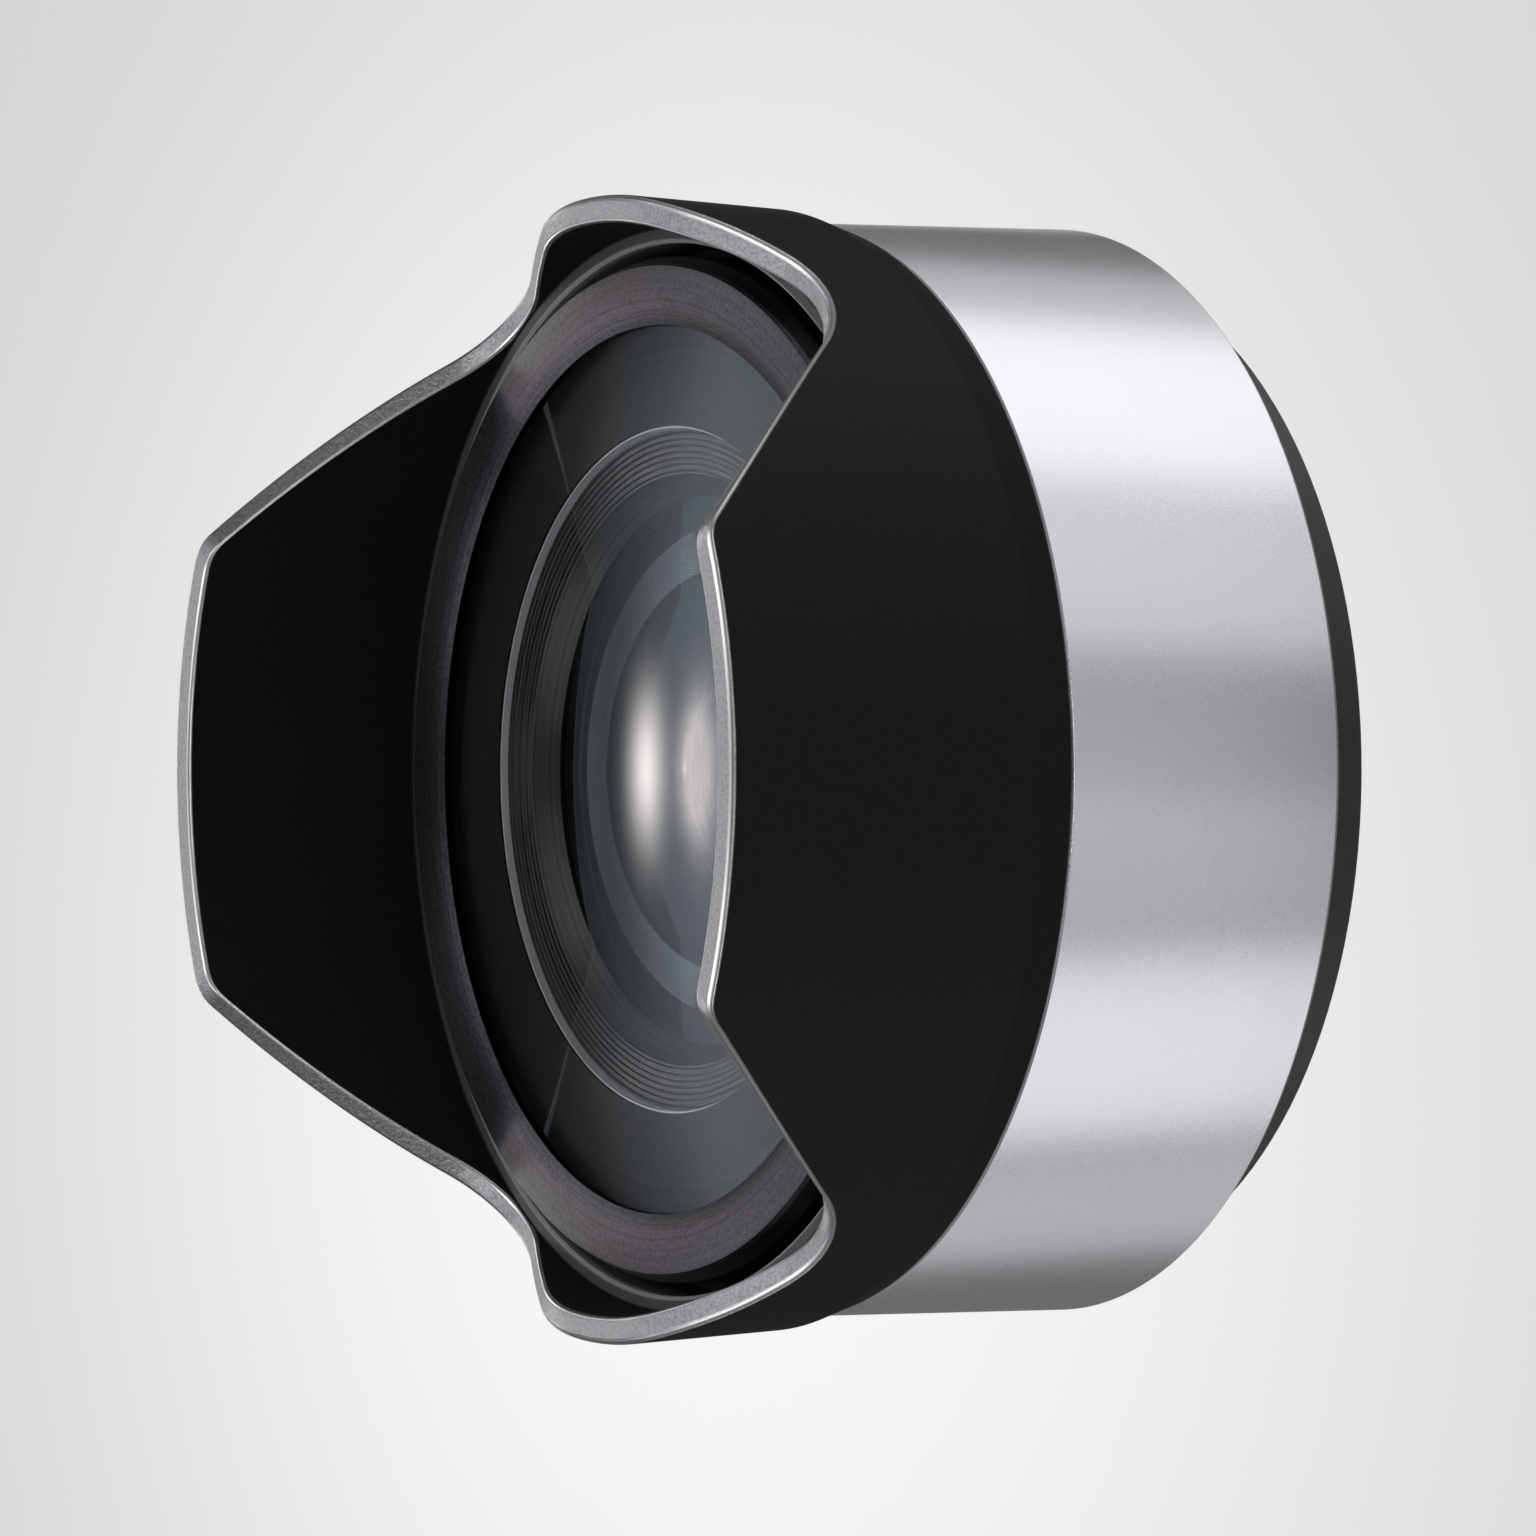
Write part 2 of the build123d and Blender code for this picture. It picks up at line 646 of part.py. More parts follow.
def on_outer_rim(edge):
    """Whether an edge is part of the rim, on the outer side of the wall."""
    points = [edge @ share for share in rim_probe_shares]
    middle_r = (hood_tip_r + hood_tip_inner_r) / 2
    low_z = min(point.Z for point in points)
    slope_r = (hood_tip_r - hood_chamfer_r) / (petal_tip_z - hood_chamfer_z)
    walls = [middle_r + slope_r * (point.Z - petal_tip_z) for point in points]
    sides = [Vector(point.X, point.Y).length - wall for point, wall in zip(points, walls)]
    return low_z > (valley_corner_z + ledge_z) / 2 and edge.length > hood_tip_r / 2 and min(sides) > 0


def hood():
    ledge_point = (hood_bore_r + ledge_edge, ledge_z)
    past_tip_z = petal_tip_z + overrun
    outer_slope = (hood_tip_r - hood_chamfer_r) / (petal_tip_z - hood_chamfer_z)
    inner_slope = (hood_tip_inner_r - ledge_r) / (petal_tip_z - ledge_z)
    wall = lathe(
        (housing_top_r + slip_gap, shoulder_front_z), (hood_spigot_r, shoulder_front_z),
        (hood_spigot_r, sleeve_front_z), (sleeve_r, sleeve_front_z), (hood_chamfer_r, hood_chamfer_z),
        (hood_tip_r + outer_slope * overrun, past_tip_z),
        (hood_tip_inner_r + inner_slope * overrun, past_tip_z),
        (ledge_r, ledge_z), ledge_point, (hood_bore_r, ledge_z - ledge_edge),
        (hood_bore_r, hood_flange_front_z), (housing_top_r + slip_gap, hood_flange_front_z),
    )
    shell = wall - rim_cutter()
    shell = fillet([edge for edge in shell.edges() if on_outer_rim(edge)], rim_outer_blend)
    shoulder = [edge for edge in shell.edges() if abs(edge.center().Z - hood_chamfer_z) < fit_gap]
    shell = fillet(shoulder, shoulder_blend)
    tapped = disc(screw_r + fit_gap, shoulder_front_z - overrun, hood_flange_front_z + overrun)
    return shell - around(tapped, hood_screw_circle_r, screw_angles())


def hood_screws():
    head_z = shoulder_rear_z - screw_head_height
    front_z = hood_flange_front_z - screw_end_margin
    screw = lathe((0, head_z), (screw_head_r, head_z), (screw_head_r, shoulder_rear_z),
                  (screw_r, shoulder_rear_z), (screw_r, front_z), (0, front_z))
    screw -= cross_slot(head_z, screw_slot_depth)
    return Compound(around(screw, hood_screw_circle_r, screw_angles()))


# Release key and lock pin

def lock_pin():
    rear_z = seat_z - pin_reach
    pin = lathe((0, rear_z), (pin_r - pin_point, rear_z), (pin_r, rear_z + pin_point), (pin_r, pin_front_z),
                (0, pin_front_z))
    return Pos(0, pin_centre_y, 0) * pin


def release_slider():
    arm_front_z = arm_rear_z + arm_height
    inner_r = sleeve_r + key_gap
    outer_r = inner_r + key_thickness
    key_rear_z = arm_rear_z - key_cover - guard_gap / 2
    key_front_z = arm_front_z + release_travel + key_cover
    shell = lathe(
        (inner_r, key_rear_z), (outer_r - key_edge, key_rear_z), (outer_r, key_rear_z + key_edge),
        (outer_r, key_front_z - key_edge), (outer_r - key_edge, key_front_z), (inner_r, key_front_z),
    )
    ribs = key_rib_cutters(outer_r, key_rear_z, key_front_z)
    key = (shell - ribs) & block((-key_half_width, key_half_width), (0, outer_r + overrun),
                                 (key_rear_z, key_front_z))
    arm = block((-arm_half_width, arm_half_width), (arm_inner_y, inner_r + key_thickness / 2),
                (arm_rear_z, arm_front_z))
    hole = pin_hole(arm_rear_z, arm_front_z, 0)
    return (key + arm) - hole


def key_rib_cutters(outer_r, rear_z, front_z):
    """Grooves that leave finger ribs across the key."""
    pitch = (front_z - rear_z) / (key_rib_count + 1)
    half = pitch * key_rib_share / 2
    rings = []
    for i in range(key_rib_count):
        middle = rear_z + pitch * (i + 1)
        rings.append(lathe((outer_r - key_rib_depth, middle), (outer_r + overrun, middle - half * 2),
                           (outer_r + overrun, middle + half * 2)))
    return rings


def bridge_screw_xs():
    reach = bridge_inner_x + bridge_wall + bridge_foot_reach / 2
    return (-reach, reach)


def lock_bracket():
    """A bridge over the lock pin, screwed to the housing's foot."""
    outer_x = bridge_inner_x + bridge_wall
    foot_x = outer_x + bridge_foot_reach
    y_span = (pin_centre_y - bridge_half_depth, pin_centre_y + bridge_half_depth)
    top_rear_z = bridge_top_z - bridge_wall
    bridge = block((-outer_x, outer_x), y_span, (foot_front_z, bridge_top_z))
    bridge -= block((-bridge_inner_x, bridge_inner_x), (y_span[0] - overrun, y_span[1] + overrun),
                    (foot_front_z - overrun, top_rear_z))
    for side in (-1, 1):
        bridge += block(sorted((side * (outer_x - fit_gap), side * foot_x)), y_span,
                        (foot_front_z, foot_front_z + bridge_wall))
    hole = disc(bridge_screw_r + fit_gap, foot_front_z - overrun, foot_front_z + overrun)
    bridge -= [Pos(x, pin_centre_y, 0) * hole for x in bridge_screw_xs()]
    return bridge - pin_hole(top_rear_z, bridge_top_z)


def bracket_screws():
    head_z = foot_front_z + bridge_wall
    tip_z = web_front_z + bridge_wall / 2 + fit_gap
    top_z = head_z + bridge_head_height
    screw = lathe((0, tip_z), (bridge_screw_r, tip_z), (bridge_screw_r, head_z),
                  (bridge_head_r, head_z), (bridge_head_r, top_z), (0, top_z))
    half = screw_slot_width / 2
    slot_span_z = (top_z - screw_slot_depth, top_z + overrun)
    screw -= block((-bridge_head_r, bridge_head_r), (-half, half), slot_span_z)
    return Compound([Pos(x, pin_centre_y, 0) * screw for x in bridge_screw_xs()])


def lock_spring():
    """A compression spring round the pin, between the key's arm and the bracket."""
    rear_z = arm_rear_z + arm_height + spring_wire_r + fit_gap
    front_z = bridge_top_z - bridge_wall - spring_wire_r - fit_gap
    height = front_z - rear_z
    coil = Helix(height / spring_turns, height, spring_coil_r)
    section = Plane(origin=coil @ 0, z_dir=coil % 0) * Circle(spring_wire_r)
    wire = sweep(section, coil, is_frenet=True)
    return Pos(0, pin_centre_y, rear_z) * wire


nodes = {
    "hood": hood,
    "front_ring": front_ring,
    "front_element": front_element,
    "front_gasket": front_gasket,
    "light_seal": light_seal,
    "barrel_sleeve": barrel_sleeve,
    "lens_housing": lens_housing,
    "second_element": second_element,
    "second_retainer": second_retainer,
    "flare_stop": flare_stop,
    "light_baffle": light_baffle,
    "third_element": third_element,
    "spacer_ring": spacer_ring,
    "rear_element": rear_element,
    "rear_retainer": rear_retainer,
    "rear_ring": rear_ring,
    "bayonet_ring": bayonet_ring,
    "bayonet_screws": bayonet_screws,
    "hood_screws": hood_screws,
    "release_slider": release_slider,
    "lock_pin": lock_pin,
    "lock_spring": lock_spring,
    "lock_bracket": lock_bracket,
    "bracket_screws": bracket_screws,
}

for name, make in nodes.items():
    export_step(make(), f"parts/{name}.step")

export_step(mark_plug(mark_depth, mark_r), "parts/index_mark.step")

for number, angle in enumerate(tab_angles(), start=1):
    export_step(leaf_spring(angle), f"parts/bayonet_spring_{number}.step")
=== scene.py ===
import json
from math import asin, atan2, cos, hypot, pi, radians, sin, sqrt, tan

import bmesh
import bpy
from mathutils import Matrix, Vector

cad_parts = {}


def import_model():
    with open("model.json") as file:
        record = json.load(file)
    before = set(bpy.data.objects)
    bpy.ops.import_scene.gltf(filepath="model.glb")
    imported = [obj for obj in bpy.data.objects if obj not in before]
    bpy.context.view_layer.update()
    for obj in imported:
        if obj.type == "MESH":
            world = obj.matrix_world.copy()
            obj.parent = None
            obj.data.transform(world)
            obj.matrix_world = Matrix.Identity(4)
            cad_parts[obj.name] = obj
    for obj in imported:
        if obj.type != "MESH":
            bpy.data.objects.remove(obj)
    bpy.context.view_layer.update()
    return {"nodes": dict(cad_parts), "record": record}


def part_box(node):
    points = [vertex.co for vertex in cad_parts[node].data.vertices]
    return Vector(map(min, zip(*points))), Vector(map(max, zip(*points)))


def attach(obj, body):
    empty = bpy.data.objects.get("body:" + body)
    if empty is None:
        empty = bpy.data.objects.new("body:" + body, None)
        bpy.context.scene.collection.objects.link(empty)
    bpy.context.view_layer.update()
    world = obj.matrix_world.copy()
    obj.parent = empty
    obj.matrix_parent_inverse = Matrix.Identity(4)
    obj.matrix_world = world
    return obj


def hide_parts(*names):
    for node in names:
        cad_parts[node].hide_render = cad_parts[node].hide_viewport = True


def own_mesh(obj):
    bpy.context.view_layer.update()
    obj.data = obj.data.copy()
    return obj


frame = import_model()

MM = 0.001

# Places and sizes taken from the frame, in millimetres


def edges_mm(node):
    """Lowest and highest corner of a node of the frame."""
    low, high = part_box(node)
    return low / MM, high / MM


sleeve_low, sleeve_high = edges_mm("barrel_sleeve")
hood_low, hood_high = edges_mm("hood")
ring_low, ring_high = edges_mm("front_ring")
front_low, front_high = edges_mm("front_element")
second_low, second_high = edges_mm("second_element")
third_low, third_high = edges_mm("third_element")
rear_low, rear_high = edges_mm("rear_element")
retainer_low, retainer_high = edges_mm("second_retainer")

# Turned sizes that a box doesn't give, the same as in the part, in millimetres
edge_break = 0.25
sleeve_wall = 1.2
sleeve_rear_wall = 0.8
sleeve_step_rise = 1.57
sleeve_blend = 0.12
hood_bore_r = 29.72
hood_flange_front_z = 22.3
hood_spigot_gap = 0.05
hood_throat_r = 26.95
hood_chamfer_height = 2.27
hood_chamfer_step = 0.78
hood_tip_wall = 1.73
hood_bore_blend = 0.05
ledge_rise = 1.12
ledge_r = 30.6
ledge_edge = 0.15
ledge_blend = 0.12
valley_height = 6.81
wing_height = 12.13
petal_corner_deg = 23.5
valley_corner_deg = 53.9
wing_corner_deg = 78.4
petal_corner_blend = 2.6
valley_blend = 8.3
wing_blend_share = 0.82
rim_blend = 0.45
rim_inner_break = 0.24
rim_break_least = 0.35
rim_line_drop = 0.03
shoulder_blend = 0.5
ring_bore_r = 25.08
ring_roll = 1.32
ring_roll_drop = 0.22
ring_cone_width = 0.5
ring_cone_height = 1.1
ring_crown_drop = 0.05
ring_lip_thickness = 0.42
ring_thread_r = 26.95
ring_blend = 0.08
ring_bore_edge = 0.05
front_radius = 130.0
front_bowl_r = 19.0
front_bowl_depth = 0.75
glass_bevel = 0.15
glass_lift = 0.03
second_radius = 60.0
second_bowl_r = 10.2
second_bowl_depth = 4.19
third_front_radius = 50.0
third_rear_radius = 150.0
rear_front_radius = 60.0
rear_rear_radius = 400.0
slip_gap = 0.05
retainer_skirt = 0.68
retainer_lap = 0.7
retainer_groove_r = 16.2
retainer_groove_drop = 0.65
retainer_grooves = 7
retainer_edge = 0.1
retainer_lip = 0.5
retainer_groove_depth = 0.12
spring_wire_r = 0.15
spring_turns = 4

# How finely turned pieces are divided
TURN_STEPS = 360
HOOD_STEPS = 720
ARC_STEPS = 40
CORNER_STEPS = 4
SHOULDER_STEPS = 8
WALL_STEPS = 12
RIM_EDGE_STEPS = 5
RIM_FLAT_STEPS = 4
RIM_FILLET_STEPS = 10
RING_ROLL_STEPS = 8
COIL_STEPS = 48
COIL_SIDES = 12
SMOOTH_DEG = 24.0
CARRIED_SMOOTH_DEG = 28.0
MERGE_WITHIN = 1e-7
FLAT_WITHIN = 1e-8

# Marks on the hood's points, which its material reads: bare and polished metal on the rim, and on the ledge a
# painted highlight, its top painted grey and its inner edge a paler grey line
BARE_RIM_AND_LEDGE_PAINTED_LIGHT = 1.0
POLISHED_RIM_AND_LEDGE_PAINTED_HIGHLIGHT = 2.0


# Mesh making


def corner_arc(before, corner, after, radius, steps=CORNER_STEPS):
    """Points of a round corner between two straight sides, kept within half of each side."""
    into = Vector(before) - Vector(corner)
    out = Vector(after) - Vector(corner)
    reach = min(into.length, out.length) / 2
    into.normalize()
    out.normalize()
    half = into.angle(out) / 2
    tangent = min(radius / tan(half), reach)
    radius = tangent * tan(half)
    centre = Vector(corner) + (into + out).normalized() * (radius / sin(half))
    start = Vector(corner) + into * tangent - centre
    end = Vector(corner) + out * tangent - centre
    points = []
    for i in range(steps + 1):
        share = i / steps
        spoke = start.lerp(end, share).normalized() * radius
        points.append(tuple(centre + spoke))
    return points


def softened(points, radius):
    """A closed outline with each corner rounded."""
    rounded = []
    for i, corner in enumerate(points):
        rounded += corner_arc(points[i - 1], corner, points[(i + 1) % len(points)], radius)
    return rounded


def bowl_curve(radius, depth):
    """The surface radius of a bowl with a given opening radius and depth."""
    return (radius ** 2 + depth ** 2) / (2 * depth)


def surface(apex_z, surface_radius, radius, way=1):
    """Points of a lens surface from the axis out to a radius. way is 1 where the glass falls."""
    turn = asin(radius / surface_radius)
    angles = [turn * i / ARC_STEPS for i in range(ARC_STEPS + 1)]
    return [(surface_radius * sin(a), apex_z - way * surface_radius * (1 - cos(a))) for a in angles]


def skin(name, rings, closed_outline, body, replaces, marks=(), second_from=None):
    """A mesh from rings of points round the optical axis, smooth apart from its sharp edges.

    marks gives each ring of points a number for each name, which the material reads.
    The faces from the ring numbered second_from onwards take the piece's second material.
    """
    steps = len(rings[0])
    vertices = [(x * MM, y * MM, z * MM) for ring in rings for x, y, z in ring]
    count = len(rings)
    faces = []
    for i in range(count if closed_outline else count - 1):
        near, far = i * steps, (i + 1) % count * steps
        for j in range(steps):
            k = (j + 1) % steps
            faces.append((near + j, near + k, far + k, far + j))
    mesh = bpy.data.meshes.new(name)
    mesh.from_pydata(vertices, [], faces)
    if second_from is not None:
        for face in list(mesh.polygons)[second_from * steps:]:
            face.material_index = 1
    for mark_name, values in dict(marks).items():
        layer = mesh.attributes.new(mark_name, "FLOAT", "POINT")
        layer.data.foreach_set("value", [value for value in values for _ in range(steps)])
    return finish_piece(mesh, name, body, replaces)


def finish_piece(mesh, name, body, replaces):
    """Clean a mesh, turn its faces outwards and put it in the scene, riding on its body."""
    work = bmesh.new()
    work.from_mesh(mesh)
    bmesh.ops.remove_doubles(work, verts=work.verts, dist=MERGE_WITHIN)
    bmesh.ops.dissolve_degenerate(work, edges=work.edges, dist=FLAT_WITHIN)
    bmesh.ops.recalc_face_normals(work, faces=work.faces)
    work.to_mesh(mesh)
    work.free()
    mesh.shade_smooth()
    mesh.set_sharp_from_angle(angle=radians(SMOOTH_DEG))
    piece = bpy.data.objects.new(name, mesh)
    bpy.context.scene.collection.objects.link(piece)
    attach(piece, body)
    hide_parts(*replaces)
    return piece


def turned_rings(outline):
    """Rings of points that an outline of (radius, height) passes through when it is turned."""
    angles = [2 * pi * j / TURN_STEPS for j in range(TURN_STEPS)]
    return [[(r * cos(a), r * sin(a), z) for a in angles] for r, z in outline]


def turned(name, outline, replaces):
    """A closed outline of (radius, height) turned about the optical axis."""
    return skin(name, turned_rings(outline), True, "lens_body", replaces)


# Petal hood


def rim_line(mean_r):
    """The rim from the middle of the long petal to the middle of the short one: (degrees, height)."""
    unrolled = radians(mean_r)
    front_z = sleeve_high.z
    flat = (90 - wing_corner_deg) * unrolled
    corners = [
        (0, hood_high.z), (petal_corner_deg * unrolled, hood_high.z),
        (valley_corner_deg * unrolled, front_z + valley_height),
        (wing_corner_deg * unrolled, front_z + wing_height), (90 * unrolled, front_z + wing_height),
    ]
    wing_turn = atan2(corners[3][1] - corners[2][1], corners[3][0] - corners[2][0])
    blends = (petal_corner_blend, valley_blend, flat * wing_blend_share / tan(wing_turn / 2))
    line = [corners[0]]
    for i, blend in enumerate(blends, start=1):
        line += corner_arc(line[-1], corners[i], corners[i + 1], blend, ARC_STEPS)
    line.append(corners[-1])
    return [(u / unrolled, z) for u, z in line]


def height_on(line, degrees):
    """Height of the rim and its rise per degree, at an angle from the long petal's middle."""
    folded = degrees % 180
    mirrored = folded > 90
    folded = 180 - folded if mirrored else folded
    for (a, low), (b, high) in zip(line, line[1:]):
        if folded <= b + 1e-9 and b > a:
            rise = (high - low) / (b - a)
            return low + rise * (folded - a), -rise if mirrored else rise
    return line[-1][1], 0.0


def hood():
    """The hood as one skin: bore, ledge, inner wall, rim, outer wall, chamfer and spigot."""
    front_z, tip_z, tip_r = sleeve_high.z, hood_high.z, hood_high.y
    sleeve_r = sleeve_high.x
    chamfer_z, chamfer_r = front_z + hood_chamfer_height, sleeve_r + hood_chamfer_step
    ledge_z = front_z + valley_height + ledge_rise
    mean_r = (tip_r + ledge_r) / 2
    line = rim_line(mean_r)
    outer_slope = (tip_r - chamfer_r) / (tip_z - chamfer_z)
    inner_slope = (tip_r - hood_tip_wall - ledge_r) / (tip_z - ledge_z)
    spigot_r = sleeve_r - sleeve_wall - hood_spigot_gap
    shoulder = corner_arc((sleeve_r, front_z), (chamfer_r, chamfer_z), (tip_r, tip_z),
                          shoulder_blend, SHOULDER_STEPS)
    below = softened([
        (hood_throat_r, hood_low.z), (hood_throat_r, hood_flange_front_z),
        (hood_bore_r, hood_flange_front_z),
    ], hood_bore_blend)[CORNER_STEPS + 1:]
    ledge = [(hood_bore_r, ledge_z - ledge_edge), (hood_bore_r + ledge_edge, ledge_z)]
    ledge += corner_arc(ledge[-1], (ledge_r, ledge_z), (ledge_r + inner_slope, ledge_z + 1), ledge_blend)
    foot = [(sleeve_r, front_z), (spigot_r, front_z), (spigot_r, hood_low.z), (hood_throat_r, hood_low.z)]
    columns = []
    for j in range(HOOD_STEPS):
        turn = 2 * pi * j / HOOD_STEPS
        rim_z, rise = height_on(line, 90 - 360 * j / HOOD_STEPS)
        slope = rise / radians(mean_r)
        stretch = sqrt(1 + slope ** 2)
        inner_r = ledge_r + inner_slope * (rim_z - ledge_z)
        outer_r = chamfer_r + outer_slope * (rim_z - chamfer_z)
        inner_break = rim_inner_break * (rim_break_least + (1 - rim_break_least) / stretch ** 4)
        column = below + ledge
        top_z = rim_z - inner_break * stretch
        start_z = ledge[-1][1]
        for i in range(1, WALL_STEPS + 1):
            z = start_z + (top_z - start_z) * i / WALL_STEPS
            column.append((ledge_r + inner_slope * (z - ledge_z), z))
        column.insert(-1, (column[-1][0], top_z - rim_line_drop))
        bare = [0.0] * (len(column) - 1) + [BARE_RIM_AND_LEDGE_PAINTED_LIGHT]
        for i in range(1, RIM_EDGE_STEPS + 1):
            turned_by = pi / 2 * i / RIM_EDGE_STEPS
            drop = inner_break * stretch * (1 - sin(turned_by))
            column.append((inner_r + inner_break * (1 - cos(turned_by)), rim_z - drop))
            bare.append(POLISHED_RIM_AND_LEDGE_PAINTED_HIGHLIGHT if i < RIM_EDGE_STEPS else BARE_RIM_AND_LEDGE_PAINTED_LIGHT)
        for i in range(1, RIM_FLAT_STEPS + 1):
            share = i / RIM_FLAT_STEPS
            r = inner_r + inner_break + (outer_r - rim_blend - inner_r - inner_break) * share
            column.append((r, rim_z))
            bare.append(BARE_RIM_AND_LEDGE_PAINTED_LIGHT)
        for i in range(1, RIM_FILLET_STEPS + 1):
            turned_by = pi / 2 * i / RIM_FILLET_STEPS
            drop = rim_blend * stretch * (1 - cos(turned_by))
            r = outer_r - rim_blend * (1 - sin(turned_by)) - outer_slope * drop
            column.append((r, rim_z - drop))
            bare.append(max(0.0, min(BARE_RIM_AND_LEDGE_PAINTED_LIGHT + i / 3, POLISHED_RIM_AND_LEDGE_PAINTED_HIGHLIGHT, 10 * (0.8 - i / RIM_FILLET_STEPS))))
        end_z = column[-1][1]
        for i in range(1, WALL_STEPS):
            z = end_z + (shoulder[-1][1] - end_z) * i / WALL_STEPS
            column.append((chamfer_r + outer_slope * (z - chamfer_z), z))
        column += shoulder[::-1] + foot
        bare += [0.0] * (len(column) - len(bare))
        columns.append([(r * cos(turn), r * sin(turn), z) for r, z in column])
    rings = list(zip(*columns))
    # Painted highlight: the ledge's inner edge and top are marked to be painted paler grey
    ledge_painted_highlight = [0.0] * len(below) + [POLISHED_RIM_AND_LEDGE_PAINTED_HIGHLIGHT, POLISHED_RIM_AND_LEDGE_PAINTED_HIGHLIGHT, BARE_RIM_AND_LEDGE_PAINTED_LIGHT]
    ledge_painted_highlight += [0.0] * (len(rings) - len(ledge_painted_highlight))
    return skin("hood_shell", rings, True, "lens_body", ["hood"],
                {"bare_rim": bare, "ledge_painted_highlight": ledge_painted_highlight})


# Turned metal pieces


def barrel_sleeve():
    outer_r = sleeve_high.x
    inner_r, rear_inner_r = outer_r - sleeve_wall, outer_r - sleeve_rear_wall
    rear_z, front_z = sleeve_low.z, sleeve_high.z
    step_z = rear_z + sleeve_step_rise
    outline = softened([
        (rear_inner_r, rear_z), (outer_r - edge_break, rear_z), (outer_r, rear_z + edge_break),
        (outer_r, front_z - edge_break), (outer_r - edge_break, front_z), (inner_r, front_z),
        (inner_r, step_z), (rear_inner_r, step_z),
    ], sleeve_blend)
    return turned("barrel_skin", outline, ["barrel_sleeve"])


def front_ring():
    outer_r, top_z, rear_z = ring_high.x, ring_high.z, ring_low.z
    face_r, cone_z = outer_r - ring_cone_width, top_z - ring_cone_height
    lip_z = top_z - ring_lip_thickness
    outline = softened([
        (ring_bore_r, lip_z), (ring_thread_r, lip_z), (ring_thread_r, rear_z), (outer_r, rear_z),
        (outer_r, cone_z), (face_r, top_z - ring_crown_drop), (ring_bore_r + ring_roll, top_z),
    ], ring_blend)
    for i in range(RING_ROLL_STEPS + 1):
        share = i / RING_ROLL_STEPS
        outline.append((ring_bore_r + ring_roll * (1 - share), top_z - ring_roll_drop * share ** 2))
    outline.append((ring_bore_r, top_z - ring_roll_drop - ring_bore_edge))
    return turned("turned_front_ring", outline, ["front_ring"])


# Glass


def element(name, front, rear, edge_points, node, second_rear=False):
    """A glass element turned from its two surfaces, which meet the axis, and its edge.

    With second_rear the rear surface takes the piece's second material.
    """
    outline = front + edge_points + rear[::-1]
    outline[0] = (0.0, outline[0][1])
    outline[-1] = (0.0, outline[-1][1])
    second_from = len(front) + len(edge_points) - 1 if second_rear else None
    return skin(name, turned_rings(outline), False, "lens_body", [node],
                second_from=second_from)


def bevelled_edge(edge_r, front_z, rear_z):
    """The ground edge of an element, from the end of its front surface to its flat seat."""
    return [(edge_r, front_z - glass_bevel), (edge_r, rear_z + glass_bevel), (edge_r - glass_bevel, rear_z)]


def front_glass():
    edge_r, apex_z, rear_z = front_high.x, front_high.z, front_low.z + glass_lift
    front = surface(apex_z, front_radius, edge_r - glass_bevel)
    edge_z = front[-1][1]
    rear = surface(rear_z + front_bowl_depth, bowl_curve(front_bowl_r, front_bowl_depth), front_bowl_r)
    edge = bevelled_edge(edge_r, edge_z, rear_z)
    return element("front_glass", front, rear, edge, "front_element", True)


def second_glass():
    edge_r, apex_z, seat_z = second_high.x, second_high.z, second_low.z
    front = surface(apex_z, second_radius, edge_r - glass_bevel)
    edge_z = front[-1][1]
    rear = surface(seat_z + second_bowl_depth, bowl_curve(second_bowl_r, second_bowl_depth), second_bowl_r)
    edge = bevelled_edge(edge_r, edge_z, seat_z)
    return element("second_glass", front, rear, edge, "second_element")


def third_glass():
    front = surface(third_high.z, third_front_radius, third_high.x)
    rear = surface(third_low.z, third_rear_radius, third_high.x, -1)
    return element("third_glass", front, rear, [], "third_element")


def rear_glass():
    front = surface(rear_high.z, rear_front_radius, rear_high.x)
    rear = surface(rear_low.z, rear_rear_radius, rear_high.x, -1)
    return element("rear_glass", front, rear, [], "rear_element")


# Ring that holds the second element


def grooved_line(start, end, count, depth):
    """A straight line of (radius, height) points with small V grooves turned into it."""
    (r0, z0), (r1, z1) = start, end
    length = hypot(r1 - r0, z1 - z0)
    across = ((z1 - z0) / length, -(r1 - r0) / length)
    points = [start]
    for i in range(count):
        for share, sink in ((0.3, 0), (0.5, depth), (0.7, 0)):
            step = (i + share) / count
            points.append((r0 + (r1 - r0) * step + across[0] * sink, z0 + (z1 - z0) * step + across[1] * sink))
    points.append(end)
    return points


def glass_retainer():
    outer_r, rear_z, top_z = retainer_high.x, retainer_low.z, retainer_high.z
    lip_z = rear_z + retainer_skirt
    bore_r = second_high.x + slip_gap
    groove_r, groove_z = retainer_groove_r, top_z - retainer_groove_drop
    wall_z = top_z - retainer_lip
    outline = [(outer_r, top_z), (outer_r - retainer_edge, top_z), (outer_r - 2 * retainer_edge, wall_z)]
    outline += grooved_line((outer_r - 2.5 * retainer_edge, wall_z), (groove_r, groove_z - retainer_edge),
                            retainer_grooves, retainer_groove_depth)
    outline += [(second_high.x - retainer_lap, lip_z), (bore_r, lip_z), (bore_r, rear_z), (outer_r, rear_z)]
    return turned("grooved_retainer", outline, ["second_retainer"])


# Lock spring


